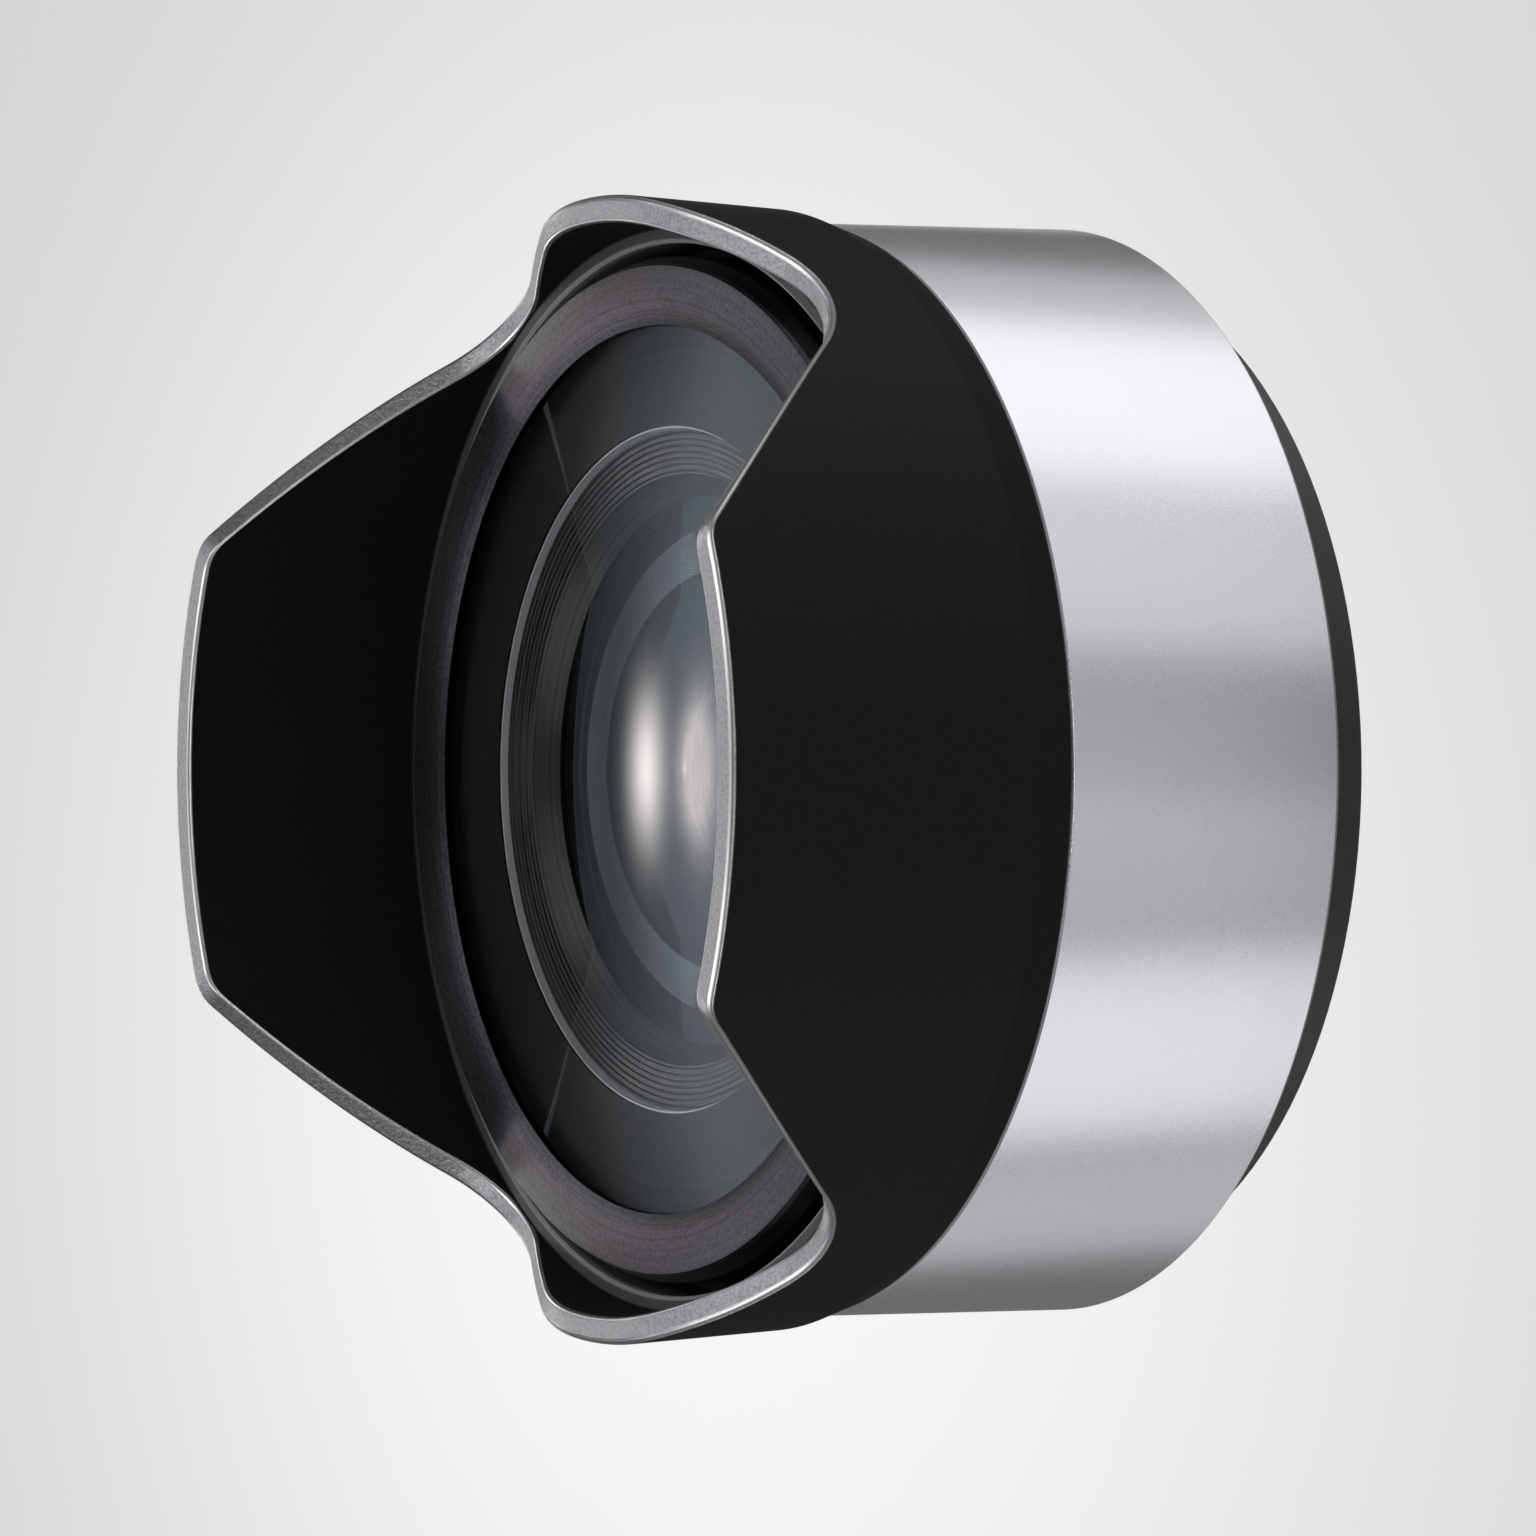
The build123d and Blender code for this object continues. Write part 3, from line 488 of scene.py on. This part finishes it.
def lock_coil():
    """The spring round the lock pin, drawn at one fixed length. The real spring shortens towards the bracket as
    the key is pushed home.
    """
    low, high = edges_mm("lock_spring")
    middle = (low + high) / 2
    coil_r = (high.x - low.x) / 2 - spring_wire_r
    rise = high.z - low.z - 2 * spring_wire_r
    steps = COIL_STEPS * spring_turns
    rings = []
    for i in range(steps + 1):
        turn = 2 * pi * spring_turns * i / steps
        out = Vector((cos(turn), sin(turn), 0))
        centre = Vector((middle.x, middle.y, low.z + spring_wire_r + rise * i / steps)) + out * coil_r
        along = Vector((-sin(turn) * coil_r, cos(turn) * coil_r, rise / (2 * pi * spring_turns))).normalized()
        up = along.cross(out)
        ring = []
        for j in range(COIL_SIDES):
            v = 2 * pi * j / COIL_SIDES
            ring.append(tuple(centre + (out * cos(v) + up * sin(v)) * spring_wire_r))
        if i == 0:
            rings.append([tuple(centre)] * COIL_SIDES)
        rings.append(ring)
    rings.append([tuple(centre)] * COIL_SIDES)
    coil = skin("lock_coil", rings, False, "lens_body", ["lock_spring"])
    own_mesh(coil)
    return coil


# Shader sums


class Value:
    """A number or vector in a node tree, with which sums can be written."""

    def __init__(self, paint, socket):
        self.paint, self.socket = paint, socket

    def sum(self, way, *terms):
        return self.paint.node("ShaderNodeMath", {"operation": way}, terms)

    def __add__(self, other):
        return self.sum("ADD", self, other)

    def __radd__(self, other):
        return self.sum("ADD", other, self)

    def __sub__(self, other):
        return self.sum("SUBTRACT", self, other)

    def __rsub__(self, other):
        return self.sum("SUBTRACT", other, self)

    def __mul__(self, other):
        return self.sum("MULTIPLY", self, other)

    def __rmul__(self, other):
        return self.sum("MULTIPLY", other, self)

    def __truediv__(self, other):
        return self.sum("DIVIDE", self, other)

    def __pow__(self, other):
        return self.sum("POWER", self, other)


class Paint:
    """One material and its shader, whose inputs are set or linked by name."""

    def __init__(self, name):
        self.material = bpy.data.materials.new(name)
        self.material.use_nodes = True
        self.tree = self.material.node_tree
        self.tree.nodes.clear()
        self.shader = self.tree.nodes.new("ShaderNodeBsdfPrincipled")
        self.out = self.tree.nodes.new("ShaderNodeOutputMaterial")
        self.tree.links.new(self.shader.outputs[0], self.out.inputs[0])

    def node(self, kind, settings=None, inputs=(), output=0):
        """A node's output. Inputs are in order, or by name as a dictionary."""
        made = self.tree.nodes.new(kind)
        for key, value in (settings or {}).items():
            setattr(made, key, value)
        pairs = inputs.items() if isinstance(inputs, dict) else enumerate(inputs)
        for key, value in pairs:
            self.feed(made.inputs[key], value)
        return Value(self, made.outputs[output])

    def feed(self, socket, value):
        if isinstance(value, Value):
            self.tree.links.new(value.socket, socket)
        else:
            socket.default_value = value

    def set(self, **inputs):
        """Set or link inputs of the shader; an underscore stands for a space."""
        for key, value in inputs.items():
            self.feed(self.shader.inputs[key.replace("_", " ")], value)

    def place(self):
        """The point's place in its piece, in millimetres."""
        here = self.node("ShaderNodeTexCoord", output="Object")
        return self.node("ShaderNodeVectorMath", {"operation": "SCALE"}, {"Vector": here, "Scale": 1000.0})

    def parts_of(self, vector):
        split = self.node("ShaderNodeSeparateXYZ", inputs=[vector]).socket.node
        return [Value(self, split.outputs[i]) for i in range(3)]

    def radius(self, vector):
        x, y, _ = self.parts_of(vector)
        return (x * x + y * y) ** 0.5

    def noise(self, vector, per_mm, detail=2.0, rough=0.5):
        """Noise from 0 to 1 with a given number of grains to the millimetre."""
        return self.node("ShaderNodeTexNoise", inputs={
            "Vector": vector, "Scale": per_mm, "Detail": detail, "Roughness": rough})

    def lines(self, value, per_mm, detail=3.0):
        """Noise along one measure only, such as the marks of a lathe along the radius."""
        return self.node("ShaderNodeTexNoise", {"noise_dimensions": "1D"}, {
            "W": value, "Scale": per_mm, "Detail": detail, "Roughness": 0.6})

    def span(self, value, low, high, out_low, out_high):
        """Carry a value from one range to another, smoothly, without leaving it."""
        return self.node("ShaderNodeMapRange", {"interpolation_type": "SMOOTHSTEP"},
                         [value, low, high, out_low, out_high])

    def tint(self, share, low, high):
        """A colour between two colours."""
        made = self.tree.nodes.new("ShaderNodeMix")
        made.data_type = "RGBA"
        self.feed(made.inputs[0], share)
        self.feed(made.inputs[6], low)
        self.feed(made.inputs[7], high)
        return Value(self, made.outputs[2])

    def bump(self, height, depth_mm, strength):
        """A normal from a height of 0 to 1 that stands for a depth in millimetres."""
        return self.node("ShaderNodeBump", inputs={
            "Height": height, "Strength": strength, "Distance": depth_mm * MM})


def shade(level, tone=(1, 1, 1)):
    return tuple(level * t for t in tone) + (1.0,)


# Materials


def hood_black():
    """Fine leathery black paint, with bead-blasted bare metal on the rim and a painted highlight on the ledge.
    """
    paint = Paint("hood_black")
    at = paint.place()
    bare = paint.node("ShaderNodeAttribute", {"attribute_name": "bare_rim"}, output="Fac")
    ledge = paint.node("ShaderNodeAttribute", {"attribute_name": "ledge_painted_highlight"}, output="Fac")
    grain = paint.noise(at, 3.2, 3.0)
    fine = paint.noise(at, 5.0, 2.0, 0.6)
    worn = paint.span(bare + (fine - 0.5) * 0.3, 0.2, 0.9, 0.0, 1.0)
    black = paint.tint(grain, shade(0.008, (1, 0.93, 1.09)), shade(0.016, (1, 0.92, 1.12)))
    # Painted highlight: the ledge's top is painted grey, and its inner edge a paler grey line
    black = paint.tint(ledge, black, shade(0.07, (1, 0.98, 1.02)))
    black = paint.tint(paint.span(ledge, 1.8, 2.0, 0.0, 1.0), black, shade(0.25, (1, 0.98, 1.02)))
    spots = paint.span(fine, 0.3, 0.7, 0.0, 1.0)
    metal = paint.tint(spots, shade(0.2, (1, 1, 1.03)), shade(0.31, (1, 1, 1.03)))
    polished = paint.span(bare, 1.1, 1.9, 0.0, 1.0)
    metal = paint.tint(polished, metal, shade(0.62, (1, 1, 1.02)))
    skin_bump = paint.bump((grain * 0.5 + fine * 0.5) * (1 - polished), 0.09, 0.6)
    rough = paint.span(worn, 0.0, 1.0, 0.5, 0.41) - polished * 0.09 + (fine - 0.5) * 0.12
    paint.set(Base_Color=paint.tint(worn, black, metal), Metallic=worn, IOR=1.05, Roughness=rough,
              Coat_Weight=(1 - worn) * 0.15, Coat_Roughness=0.42, Coat_IOR=1.5, Normal=skin_bump)
    return paint.material


def turned_grey():
    """Dark anodised metal with the marks of the lathe, and painted shade: its outer side, down in the channel
    by the hood, is painted near-black.
    """
    paint = Paint("turned_grey")
    at = paint.place()
    r = paint.radius(at)
    marks = paint.lines(r, 5.0)
    grain = paint.noise(at, 4.5, 2.0, 0.6)
    face = paint.tint(paint.span(marks * 0.4 + grain * 0.6, 0.3, 0.7, 0.0, 1.0),
                      shade(0.03, (0.98, 0.95, 1.1)), shade(0.078, (0.98, 0.95, 1.1)))
    # Painted shade: the outer cone and side of the ring, down in the channel by the hood, are painted
    # near-black
    cone_r = ring_high.x - ring_cone_width
    side = paint.span(r, cone_r + 0.08, cone_r + 0.16, 0.0, 1.0)
    paint.set(Base_Color=paint.tint(side, face, shade(0.01)), Metallic=1.0,
              Roughness=0.36 + (grain - 0.5) * 0.08, Anisotropic=0.85, Anisotropic_Rotation=0.25,
              Normal=paint.bump(marks, 0.008, 0.7))
    return paint.material


def satin_silver():
    """Silver anodised metal, blasted to a satin finish."""
    tone = (1, 0.975, 1.035)
    paint = Paint("satin_silver")
    at = paint.place()
    grain = paint.noise(at, 22.0, 3.0, 0.6)
    cloud = paint.noise(at, 0.25, 2.0)
    paint.set(Base_Color=paint.tint(grain, shade(0.74, tone), shade(0.82, tone)),
              Metallic=1.0, Roughness=0.27 + (cloud - 0.5) * 0.04 + (grain - 0.5) * 0.06,
              Normal=paint.bump(grain, 0.01, 0.25))
    return paint.material


def black_anodised():
    """Dull black anodised metal, with no bump, so that it stays even behind the glass."""
    paint = Paint("black_anodised")
    at = paint.place()
    marks = paint.lines(paint.parts_of(at)[2] + paint.radius(at), 2.5, 1.0)
    grain = paint.noise(at, 0.5, 1.0)
    paint.set(Base_Color=paint.tint(grain, shade(0.003, (1, 1.02, 1.06)), shade(0.005, (1, 1.02, 1.06))),
              IOR=1.24, Roughness=0.48 + (marks - 0.5) * 0.15)
    return paint.material


def retainer_black():
    """The grooved ring's black metal, lighter on the lathe's marks, with a painted highlight: its outer edge is
    painted light grey.
    """
    paint = Paint("retainer_black")
    at = paint.place()
    r = paint.radius(at)
    marks = paint.lines(r, 7.0, 1.0)
    grain = paint.noise(at, 5.0)
    # Painted highlight: the outer edge is painted light grey and made less metallic, so that it shows as a
    # bright line
    wall_r = retainer_high.x - 2 * retainer_edge
    edge = paint.span(r, wall_r - 0.2 * retainer_edge, wall_r, 0.0, 1.0)
    worn = paint.tint(marks, shade(0.01, (1.03, 1, 0.99)), shade(0.085, (1.03, 1, 0.99)))
    paint.set(Base_Color=paint.tint(edge, worn, shade(0.4, (1, 1, 1.06))), Metallic=1.0 - edge * 0.7,
              Roughness=0.38 + (grain - 0.5) * 0.15, Anisotropic=0.8, Anisotropic_Rotation=0.25,
              Normal=paint.bump(marks, 0.01, 0.5))
    return paint.material


def moulded_black(name):
    """Fine moulded matte plastic."""
    paint = Paint(name)
    at = paint.place()
    grain = paint.noise(at, 14.0, 3.0)
    cloud = paint.noise(at, 0.5)
    paint.set(Base_Color=paint.tint(cloud, shade(0.014, (1, 1, 1.04)), shade(0.02, (1, 1, 1.04))),
              Roughness=0.42 + (grain - 0.5) * 0.12, Normal=paint.bump(grain, 0.02, 0.35))
    return paint.material


def rear_black():
    return moulded_black("rear_black")


def key_black():
    return moulded_black("key_black")


def glass(name, index, mirror, tone=(1, 1, 1)):
    """Coated glass with faint dust: it bends the light and mirrors a small share of it.

    Lamps shine through it without bending, so that they light the pieces behind.
    """
    paint = Paint(name)
    tree = paint.tree
    dust = paint.noise(paint.place(), 1.1, 4.0, 0.7)
    tree.nodes.remove(paint.shader)
    paint.shader = tree.nodes.new("ShaderNodeBsdfRefraction")
    paint.set(IOR=index, Roughness=paint.span(dust, 0.65, 0.9, 0.0, 0.02))
    glossy = tree.nodes.new("ShaderNodeBsdfAnisotropic")
    paint.feed(glossy.inputs["Roughness"], paint.span(dust, 0.6, 0.85, 0.03, 0.06))
    glossy.inputs["Color"].default_value = shade(1.0, tone)
    clear = tree.nodes.new("ShaderNodeBsdfTransparent")
    mirrored, mixed = tree.nodes.new("ShaderNodeMixShader"), tree.nodes.new("ShaderNodeMixShader")
    mirrored.inputs[0].default_value = mirror
    tree.links.new(paint.shader.outputs[0], mirrored.inputs[1])
    tree.links.new(glossy.outputs[0], mirrored.inputs[2])
    paint.feed(mixed.inputs[0], paint.node("ShaderNodeLightPath", output="Is Shadow Ray"))
    tree.links.new(mirrored.outputs[0], mixed.inputs[1])
    tree.links.new(clear.outputs[0], mixed.inputs[2])
    tree.links.new(mixed.outputs[0], paint.out.inputs[0])
    return paint.material


def coated_glass():
    return glass("coated_glass", 1.66, 0.058, (0.8, 0.93, 1.0))


def front_glass_rear():
    """The rear face of the front glass, coated so well that it only bends the light."""
    return glass("front_glass_rear", 1.66, 0.0)


def inner_glass():
    """The glass behind, with a bluish reflection."""
    return glass("inner_glass", 1.78, 0.048, (0.85, 0.93, 1.0))


def machined_steel(name, level, rough):
    """Steel with fine lines round the axis."""
    paint = Paint(name)
    at = paint.place()
    marks = paint.lines(paint.radius(at) + paint.parts_of(at)[2], 10.0)
    grain = paint.noise(at, 16.0)
    paint.set(Base_Color=paint.tint(marks, shade(level * 0.9), shade(level * 1.08)), Metallic=1.0,
              Roughness=rough + (grain - 0.5) * 0.1, Normal=paint.bump(marks, 0.006, 0.5))
    return paint.material


def mount_steel():
    return machined_steel("mount_steel", 0.56, 0.3)


def spring_steel():
    return machined_steel("spring_steel", 0.5, 0.22)


def bracket_steel():
    return machined_steel("bracket_steel", 0.45, 0.36)


def screw_black():
    return machined_steel("screw_black", 0.05, 0.35)


def seal_rubber():
    """Dull black rubber."""
    paint = Paint("seal_rubber")
    grain = paint.noise(paint.place(), 9.0, 3.0)
    paint.set(Base_Color=paint.tint(grain, shade(0.012), shade(0.02)), Roughness=0.75 + (grain - 0.5) * 0.2,
              Normal=paint.bump(grain, 0.03, 0.4))
    return paint.material


def seal_felt():
    """Black felt with a soft sheen."""
    paint = Paint("seal_felt")
    fibre = paint.noise(paint.place(), 11.0, 6.0, 0.75)
    paint.set(Base_Color=paint.tint(fibre, shade(0.006), shade(0.02)), Roughness=0.95,
              Sheen_Weight=0.3, Normal=paint.bump(fibre, 0.1, 0.8))
    return paint.material


def mark_white():
    """White paint in the index dot."""
    paint = Paint("mark_white")
    grain = paint.noise(paint.place(), 8.0)
    paint.set(Base_Color=paint.tint(grain, shade(0.74), shade(0.82)), Roughness=0.4 + (grain - 0.5) * 0.2,
              Normal=paint.bump(grain, 0.02, 0.4))
    return paint.material


MATERIALS = [
    hood_black, turned_grey, satin_silver, black_anodised, rear_black, coated_glass, inner_glass, mount_steel,
    spring_steel, screw_black, seal_rubber, seal_felt, bracket_steel, mark_white, key_black,
]


def dress(pieces):
    """Give every piece and every node that is carried over the material of its slot."""
    made = {maker.__name__: maker() for maker in MATERIALS}
    slots = {entry["node"]: entry["material_slot"] for entry in frame["record"]["subparts"]}
    for name, node in frame["nodes"].items():
        node.data.materials.clear()
        node.data.materials.append(made[slots[name]])
    for piece, slot in pieces:
        piece.data.materials.append(made[slot])
    return made


def smooth_carried_nodes():
    """Even shading on the curved faces of the nodes that are carried over."""
    for node in frame["nodes"].values():
        node.data.shade_smooth()
        node.data.set_sharp_from_angle(angle=radians(CARRIED_SMOOTH_DEG))


# Camera, lamps and floor


CAMERA_PLACE = (0.0000964, -0.60558, 0.36695)
CAMERA_DOWN_DEG = 29.65
CAMERA_LENS = 288.09
CAMERA_SENSOR = 36


def photo_camera():
    """The photo's camera, rolled so that the optical axis lies across the picture."""
    s, c = sin(radians(CAMERA_DOWN_DEG)), cos(radians(CAMERA_DOWN_DEG))
    camera = bpy.data.objects.new("camera", bpy.data.cameras.new("camera"))
    bpy.context.scene.collection.objects.link(camera)
    turn = Matrix(((0, 1, 0), (-s, 0, -c), (-c, 0, s))).to_4x4()
    camera.matrix_world = Matrix.Translation(CAMERA_PLACE) @ turn
    camera.data.lens = CAMERA_LENS
    camera.data.sensor_width = CAMERA_SENSOR
    camera.data.clip_end = 100
    bpy.context.scene.camera = camera


def softbox(name, azimuth, radius, middle_z, width, height, radiance, aim_z=None):
    """A soft lamp standing round the lens. Azimuth 0 is at the camera's side, 90 at +X.

    It faces the axis at the height aim_z, or level.
    """
    turn = radians(azimuth)
    at = Vector((radius * sin(turn), -radius * cos(turn), middle_z))
    light = bpy.data.lights.new(name, "AREA")
    light.shape = "RECTANGLE"
    light.size, light.size_y = width, height
    light.energy = radiance * pi * width * height
    lamp = bpy.data.objects.new(name, light)
    aim = Vector((0, 0, middle_z if aim_z is None else aim_z)) - at
    lamp.rotation_mode = "QUATERNION"
    lamp.rotation_quaternion = aim.to_track_quat("-Z", "Y")
    lamp.location = at
    lamp.visible_camera = False
    bpy.context.scene.collection.objects.link(lamp)


# Name, azimuth, distance from the axis, height, width, length, radiance and the height it is aimed at
LAMPS = [
    ("right_box", 84, 0.9, -0.35, 0.8, 1.1, 1.1),
    ("right_near", 40, 0.95, -0.42, 0.6, 1.0, 0.66),
    ("right_tail", 120, 0.95, -0.45, 0.35, 0.9, 0.42),
    ("left_box", -60, 0.9, -0.45, 0.75, 0.8, 0.86),
    ("left_near", -20, 1.0, -0.5, 0.45, 0.7, 0.42),
    ("left_tail", -106, 0.95, -0.45, 0.6, 0.9, 0.42),
    ("camera_fill", 4, 1.2, -0.6, 0.6, 0.9, 0.34),
    ("back_right", 172, 0.9, -0.5, 0.25, 0.7, 0.6),
    ("front_high", 0, 1.0, 0.62, 0.7, 0.3, 7.0, 0.0),
    ("valley_right", 170, 0.9, 0.13, 0.2, 0.13, 8.0, 0.02),
    ("valley_left", -170, 0.9, 0.13, 0.2, 0.13, 8.0, 0.02),
]


def lamps():
    for lamp in LAMPS:
        softbox(*lamp)


# The arch: its size in metres, its light at each number of degrees from +Y, and its two sides' tones
ARCH_RADIUS = 1.1
ARCH_HALF = 1.1
ARCH_END_DEG = 150
ARCH_TONES = ((0.97, 0.96, 1.03, 1.0), (0.95, 1.0, 1.04, 1.0))
ARCH_STOPS = [
    (0, 0.02), (20, 0.02), (22.5, 0.05), (24, 0.1), (28, 0.48), (31, 0.7), (34, 1.3), (37, 1.7),
    (44, 1.5), (52, 0.6), (60, 0.4), (69, 2.0), (77, 6.8), (85, 4.4), (97, 0.9), (110, 0.4),
    (125, 0.3), (150, 0.2),
]
STOP_FULL = 4
WARM_SPOT = {"degrees": 33.2, "spread_degrees": 1.6, "half_width": 42.0, "light": 15.0}
WARM_TONE = (1.2, 0.95, 0.87)


def arch():
    """A bent reflector from behind the lens over it to the front, brightest high behind."""
    mesh = bpy.data.meshes.new("arch")
    around, across = 60, 12
    points = []
    for i in range(around + 1):
        turn = radians(ARCH_END_DEG) * i / around
        for j in range(across + 1):
            points.append((ARCH_HALF * (2 * j / across - 1), ARCH_RADIUS * cos(turn), ARCH_RADIUS * sin(turn)))
    step = across + 1
    faces = [(i * step + j, i * step + j + 1, (i + 1) * step + j + 1, (i + 1) * step + j)
             for i in range(around) for j in range(across)]
    mesh.from_pydata(points, [], faces)
    piece = bpy.data.objects.new("arch", mesh)
    bpy.context.scene.collection.objects.link(piece)
    piece.visible_camera = False
    paint = Paint("arch")
    x, y, z = paint.parts_of(paint.place())
    turn = paint.node("ShaderNodeMath", {"operation": "ARCTAN2"}, [z, y])
    ramp = paint.node("ShaderNodeValToRGB", inputs=[turn / radians(ARCH_END_DEG)])
    stops = ramp.socket.node.color_ramp
    stops.interpolation = "B_SPLINE"
    for degrees, level in ARCH_STOPS[1:-1]:
        stops.elements.new(degrees / ARCH_END_DEG)
    for stop, (degrees, level) in zip(stops.elements, ARCH_STOPS):
        stop.color = shade(level / STOP_FULL)
    side = paint.node("ShaderNodeMath", {"operation": "ABSOLUTE"}, [x])
    soft = paint.span(side, ARCH_HALF * 400, ARCH_HALF * 1000, STOP_FULL, 0.6)
    middle = paint.span(side, 100.0, 320.0, 0.1, 1.0)
    low = paint.span(turn, radians(62), radians(74), 1.0, 0.0)
    tone = paint.tint(paint.span(x, -500.0, 600.0, 0.0, 1.0), ARCH_TONES[0], ARCH_TONES[1])
    tone = paint.tint(low, shade(1.0), tone)
    light = paint.node("ShaderNodeVectorMath", {"operation": "MULTIPLY"}, [ramp, tone])
    strength = soft * (middle + low * (1 - middle))
    light = paint.node("ShaderNodeVectorMath", {"operation": "SCALE"}, {"Vector": light, "Scale": strength})
    around = (turn - radians(WARM_SPOT["degrees"])) / radians(WARM_SPOT["spread_degrees"])
    beside = side / WARM_SPOT["half_width"]
    spot = paint.node("ShaderNodeMath", {"operation": "EXPONENT"}, [(around * around + beside * beside) * -1.0])
    warm = paint.node("ShaderNodeVectorMath", {"operation": "SCALE"},
                      {"Vector": WARM_TONE, "Scale": spot * WARM_SPOT["light"]})
    light = paint.node("ShaderNodeVectorMath", {"operation": "ADD"}, [light, warm])
    glow = paint.tree.nodes.new("ShaderNodeEmission")
    paint.feed(glow.inputs["Color"], light)
    paint.tree.links.new(glow.outputs[0], paint.out.inputs[0])
    mesh.materials.append(paint.material)


# The floor, in metres, and the painted pool of light on it, a pale oval that the camera sees behind the lens,
# in millimetres
FLOOR_HALF = 60.0
FLOOR_Z = -0.9
GLOW_MIDDLE = (-60.0, 1645.0, 0.0)
GLOW_SHAPE = (1 / 330.0, 1 / 415.0, 0.0)


def floor():
    """A wide pale floor far below the lens, with a painted pool of light that only the camera sees."""
    mesh = bpy.data.meshes.new("floor")
    corners = [(x * FLOOR_HALF, y * FLOOR_HALF, FLOOR_Z) for x, y in ((-1, -1), (1, -1), (1, 1), (-1, 1))]
    mesh.from_pydata(corners, [], [(0, 1, 2, 3)])
    piece = bpy.data.objects.new("floor", mesh)
    bpy.context.scene.collection.objects.link(piece)
    paint = Paint("floor")
    grain = paint.noise(paint.place(), 0.02, 3.0)
    paint.set(Base_Color=paint.tint(grain, shade(0.78), shade(0.8)), Roughness=0.9)
    lit = paint.tree.nodes.new("ShaderNodeEmission")
    # Painted pool of light: to the camera the floor is brightest in an oval behind the lens and darker outwards
    across = paint.node("ShaderNodeVectorMath", {"operation": "SUBTRACT"}, [paint.place(), GLOW_MIDDLE])
    across = paint.node("ShaderNodeVectorMath", {"operation": "MULTIPLY"}, [across, GLOW_SHAPE])
    away = paint.node("ShaderNodeVectorMath", {"operation": "LENGTH"}, [across], "Value")
    glow = paint.tint(paint.span(away, 0.1, 1.1, 0.0, 1.0), shade(0.98), shade(0.71))
    paint.feed(lit.inputs["Color"], glow)
    low = paint.tree.nodes.new("ShaderNodeEmission")
    low.inputs["Color"].default_value = shade(0.15)
    glossy = paint.tree.nodes.new("ShaderNodeMixShader")
    camera = paint.tree.nodes.new("ShaderNodeMixShader")
    ray = paint.tree.nodes.new("ShaderNodeLightPath")
    links = paint.tree.links
    paint.feed(glossy.inputs[0], Value(paint, ray.outputs["Is Glossy Ray"]))
    links.new(paint.shader.outputs[0], glossy.inputs[1])
    links.new(low.outputs[0], glossy.inputs[2])
    paint.feed(camera.inputs[0], Value(paint, ray.outputs["Is Camera Ray"]) * 0.93)
    links.new(glossy.outputs[0], camera.inputs[1])
    links.new(lit.outputs[0], camera.inputs[2])
    links.new(camera.outputs[0], paint.out.inputs[0])
    mesh.materials.append(paint.material)


def world():
    """Pale to the camera, and a plain level of light for everything else."""
    sky = bpy.data.worlds.new("studio")
    bpy.context.scene.world = sky
    sky.use_nodes = True
    tree = sky.node_tree
    tree.nodes.clear()
    ray = tree.nodes.new("ShaderNodeLightPath")
    mix = tree.nodes.new("ShaderNodeMixShader")
    seen, light = tree.nodes.new("ShaderNodeBackground"), tree.nodes.new("ShaderNodeBackground")
    seen.inputs["Color"].default_value = shade(0.83, (1, 0.995, 1.0))
    light.inputs["Color"].default_value = shade(0.2)
    out = tree.nodes.new("ShaderNodeOutputWorld")
    tree.links.new(ray.outputs["Is Camera Ray"], mix.inputs[0])
    tree.links.new(light.outputs[0], mix.inputs[1])
    tree.links.new(seen.outputs[0], mix.inputs[2])
    tree.links.new(mix.outputs[0], out.inputs[0])


smooth_carried_nodes()
pieces = [
    (hood(), "hood_black"), (barrel_sleeve(), "satin_silver"), (front_ring(), "turned_grey"),
    (front_glass(), "coated_glass"),
]
made = dress(pieces)
glass_retainer().data.materials.append(retainer_black())
pieces[-1][0].data.materials.append(front_glass_rear())
for maker in (second_glass, third_glass, rear_glass):
    maker().data.materials.append(made["inner_glass"])
lock_coil().data.materials.append(made["spring_steel"])
photo_camera()
lamps()
arch()
floor()
world()
bpy.context.scene.view_settings.view_transform = "Standard"
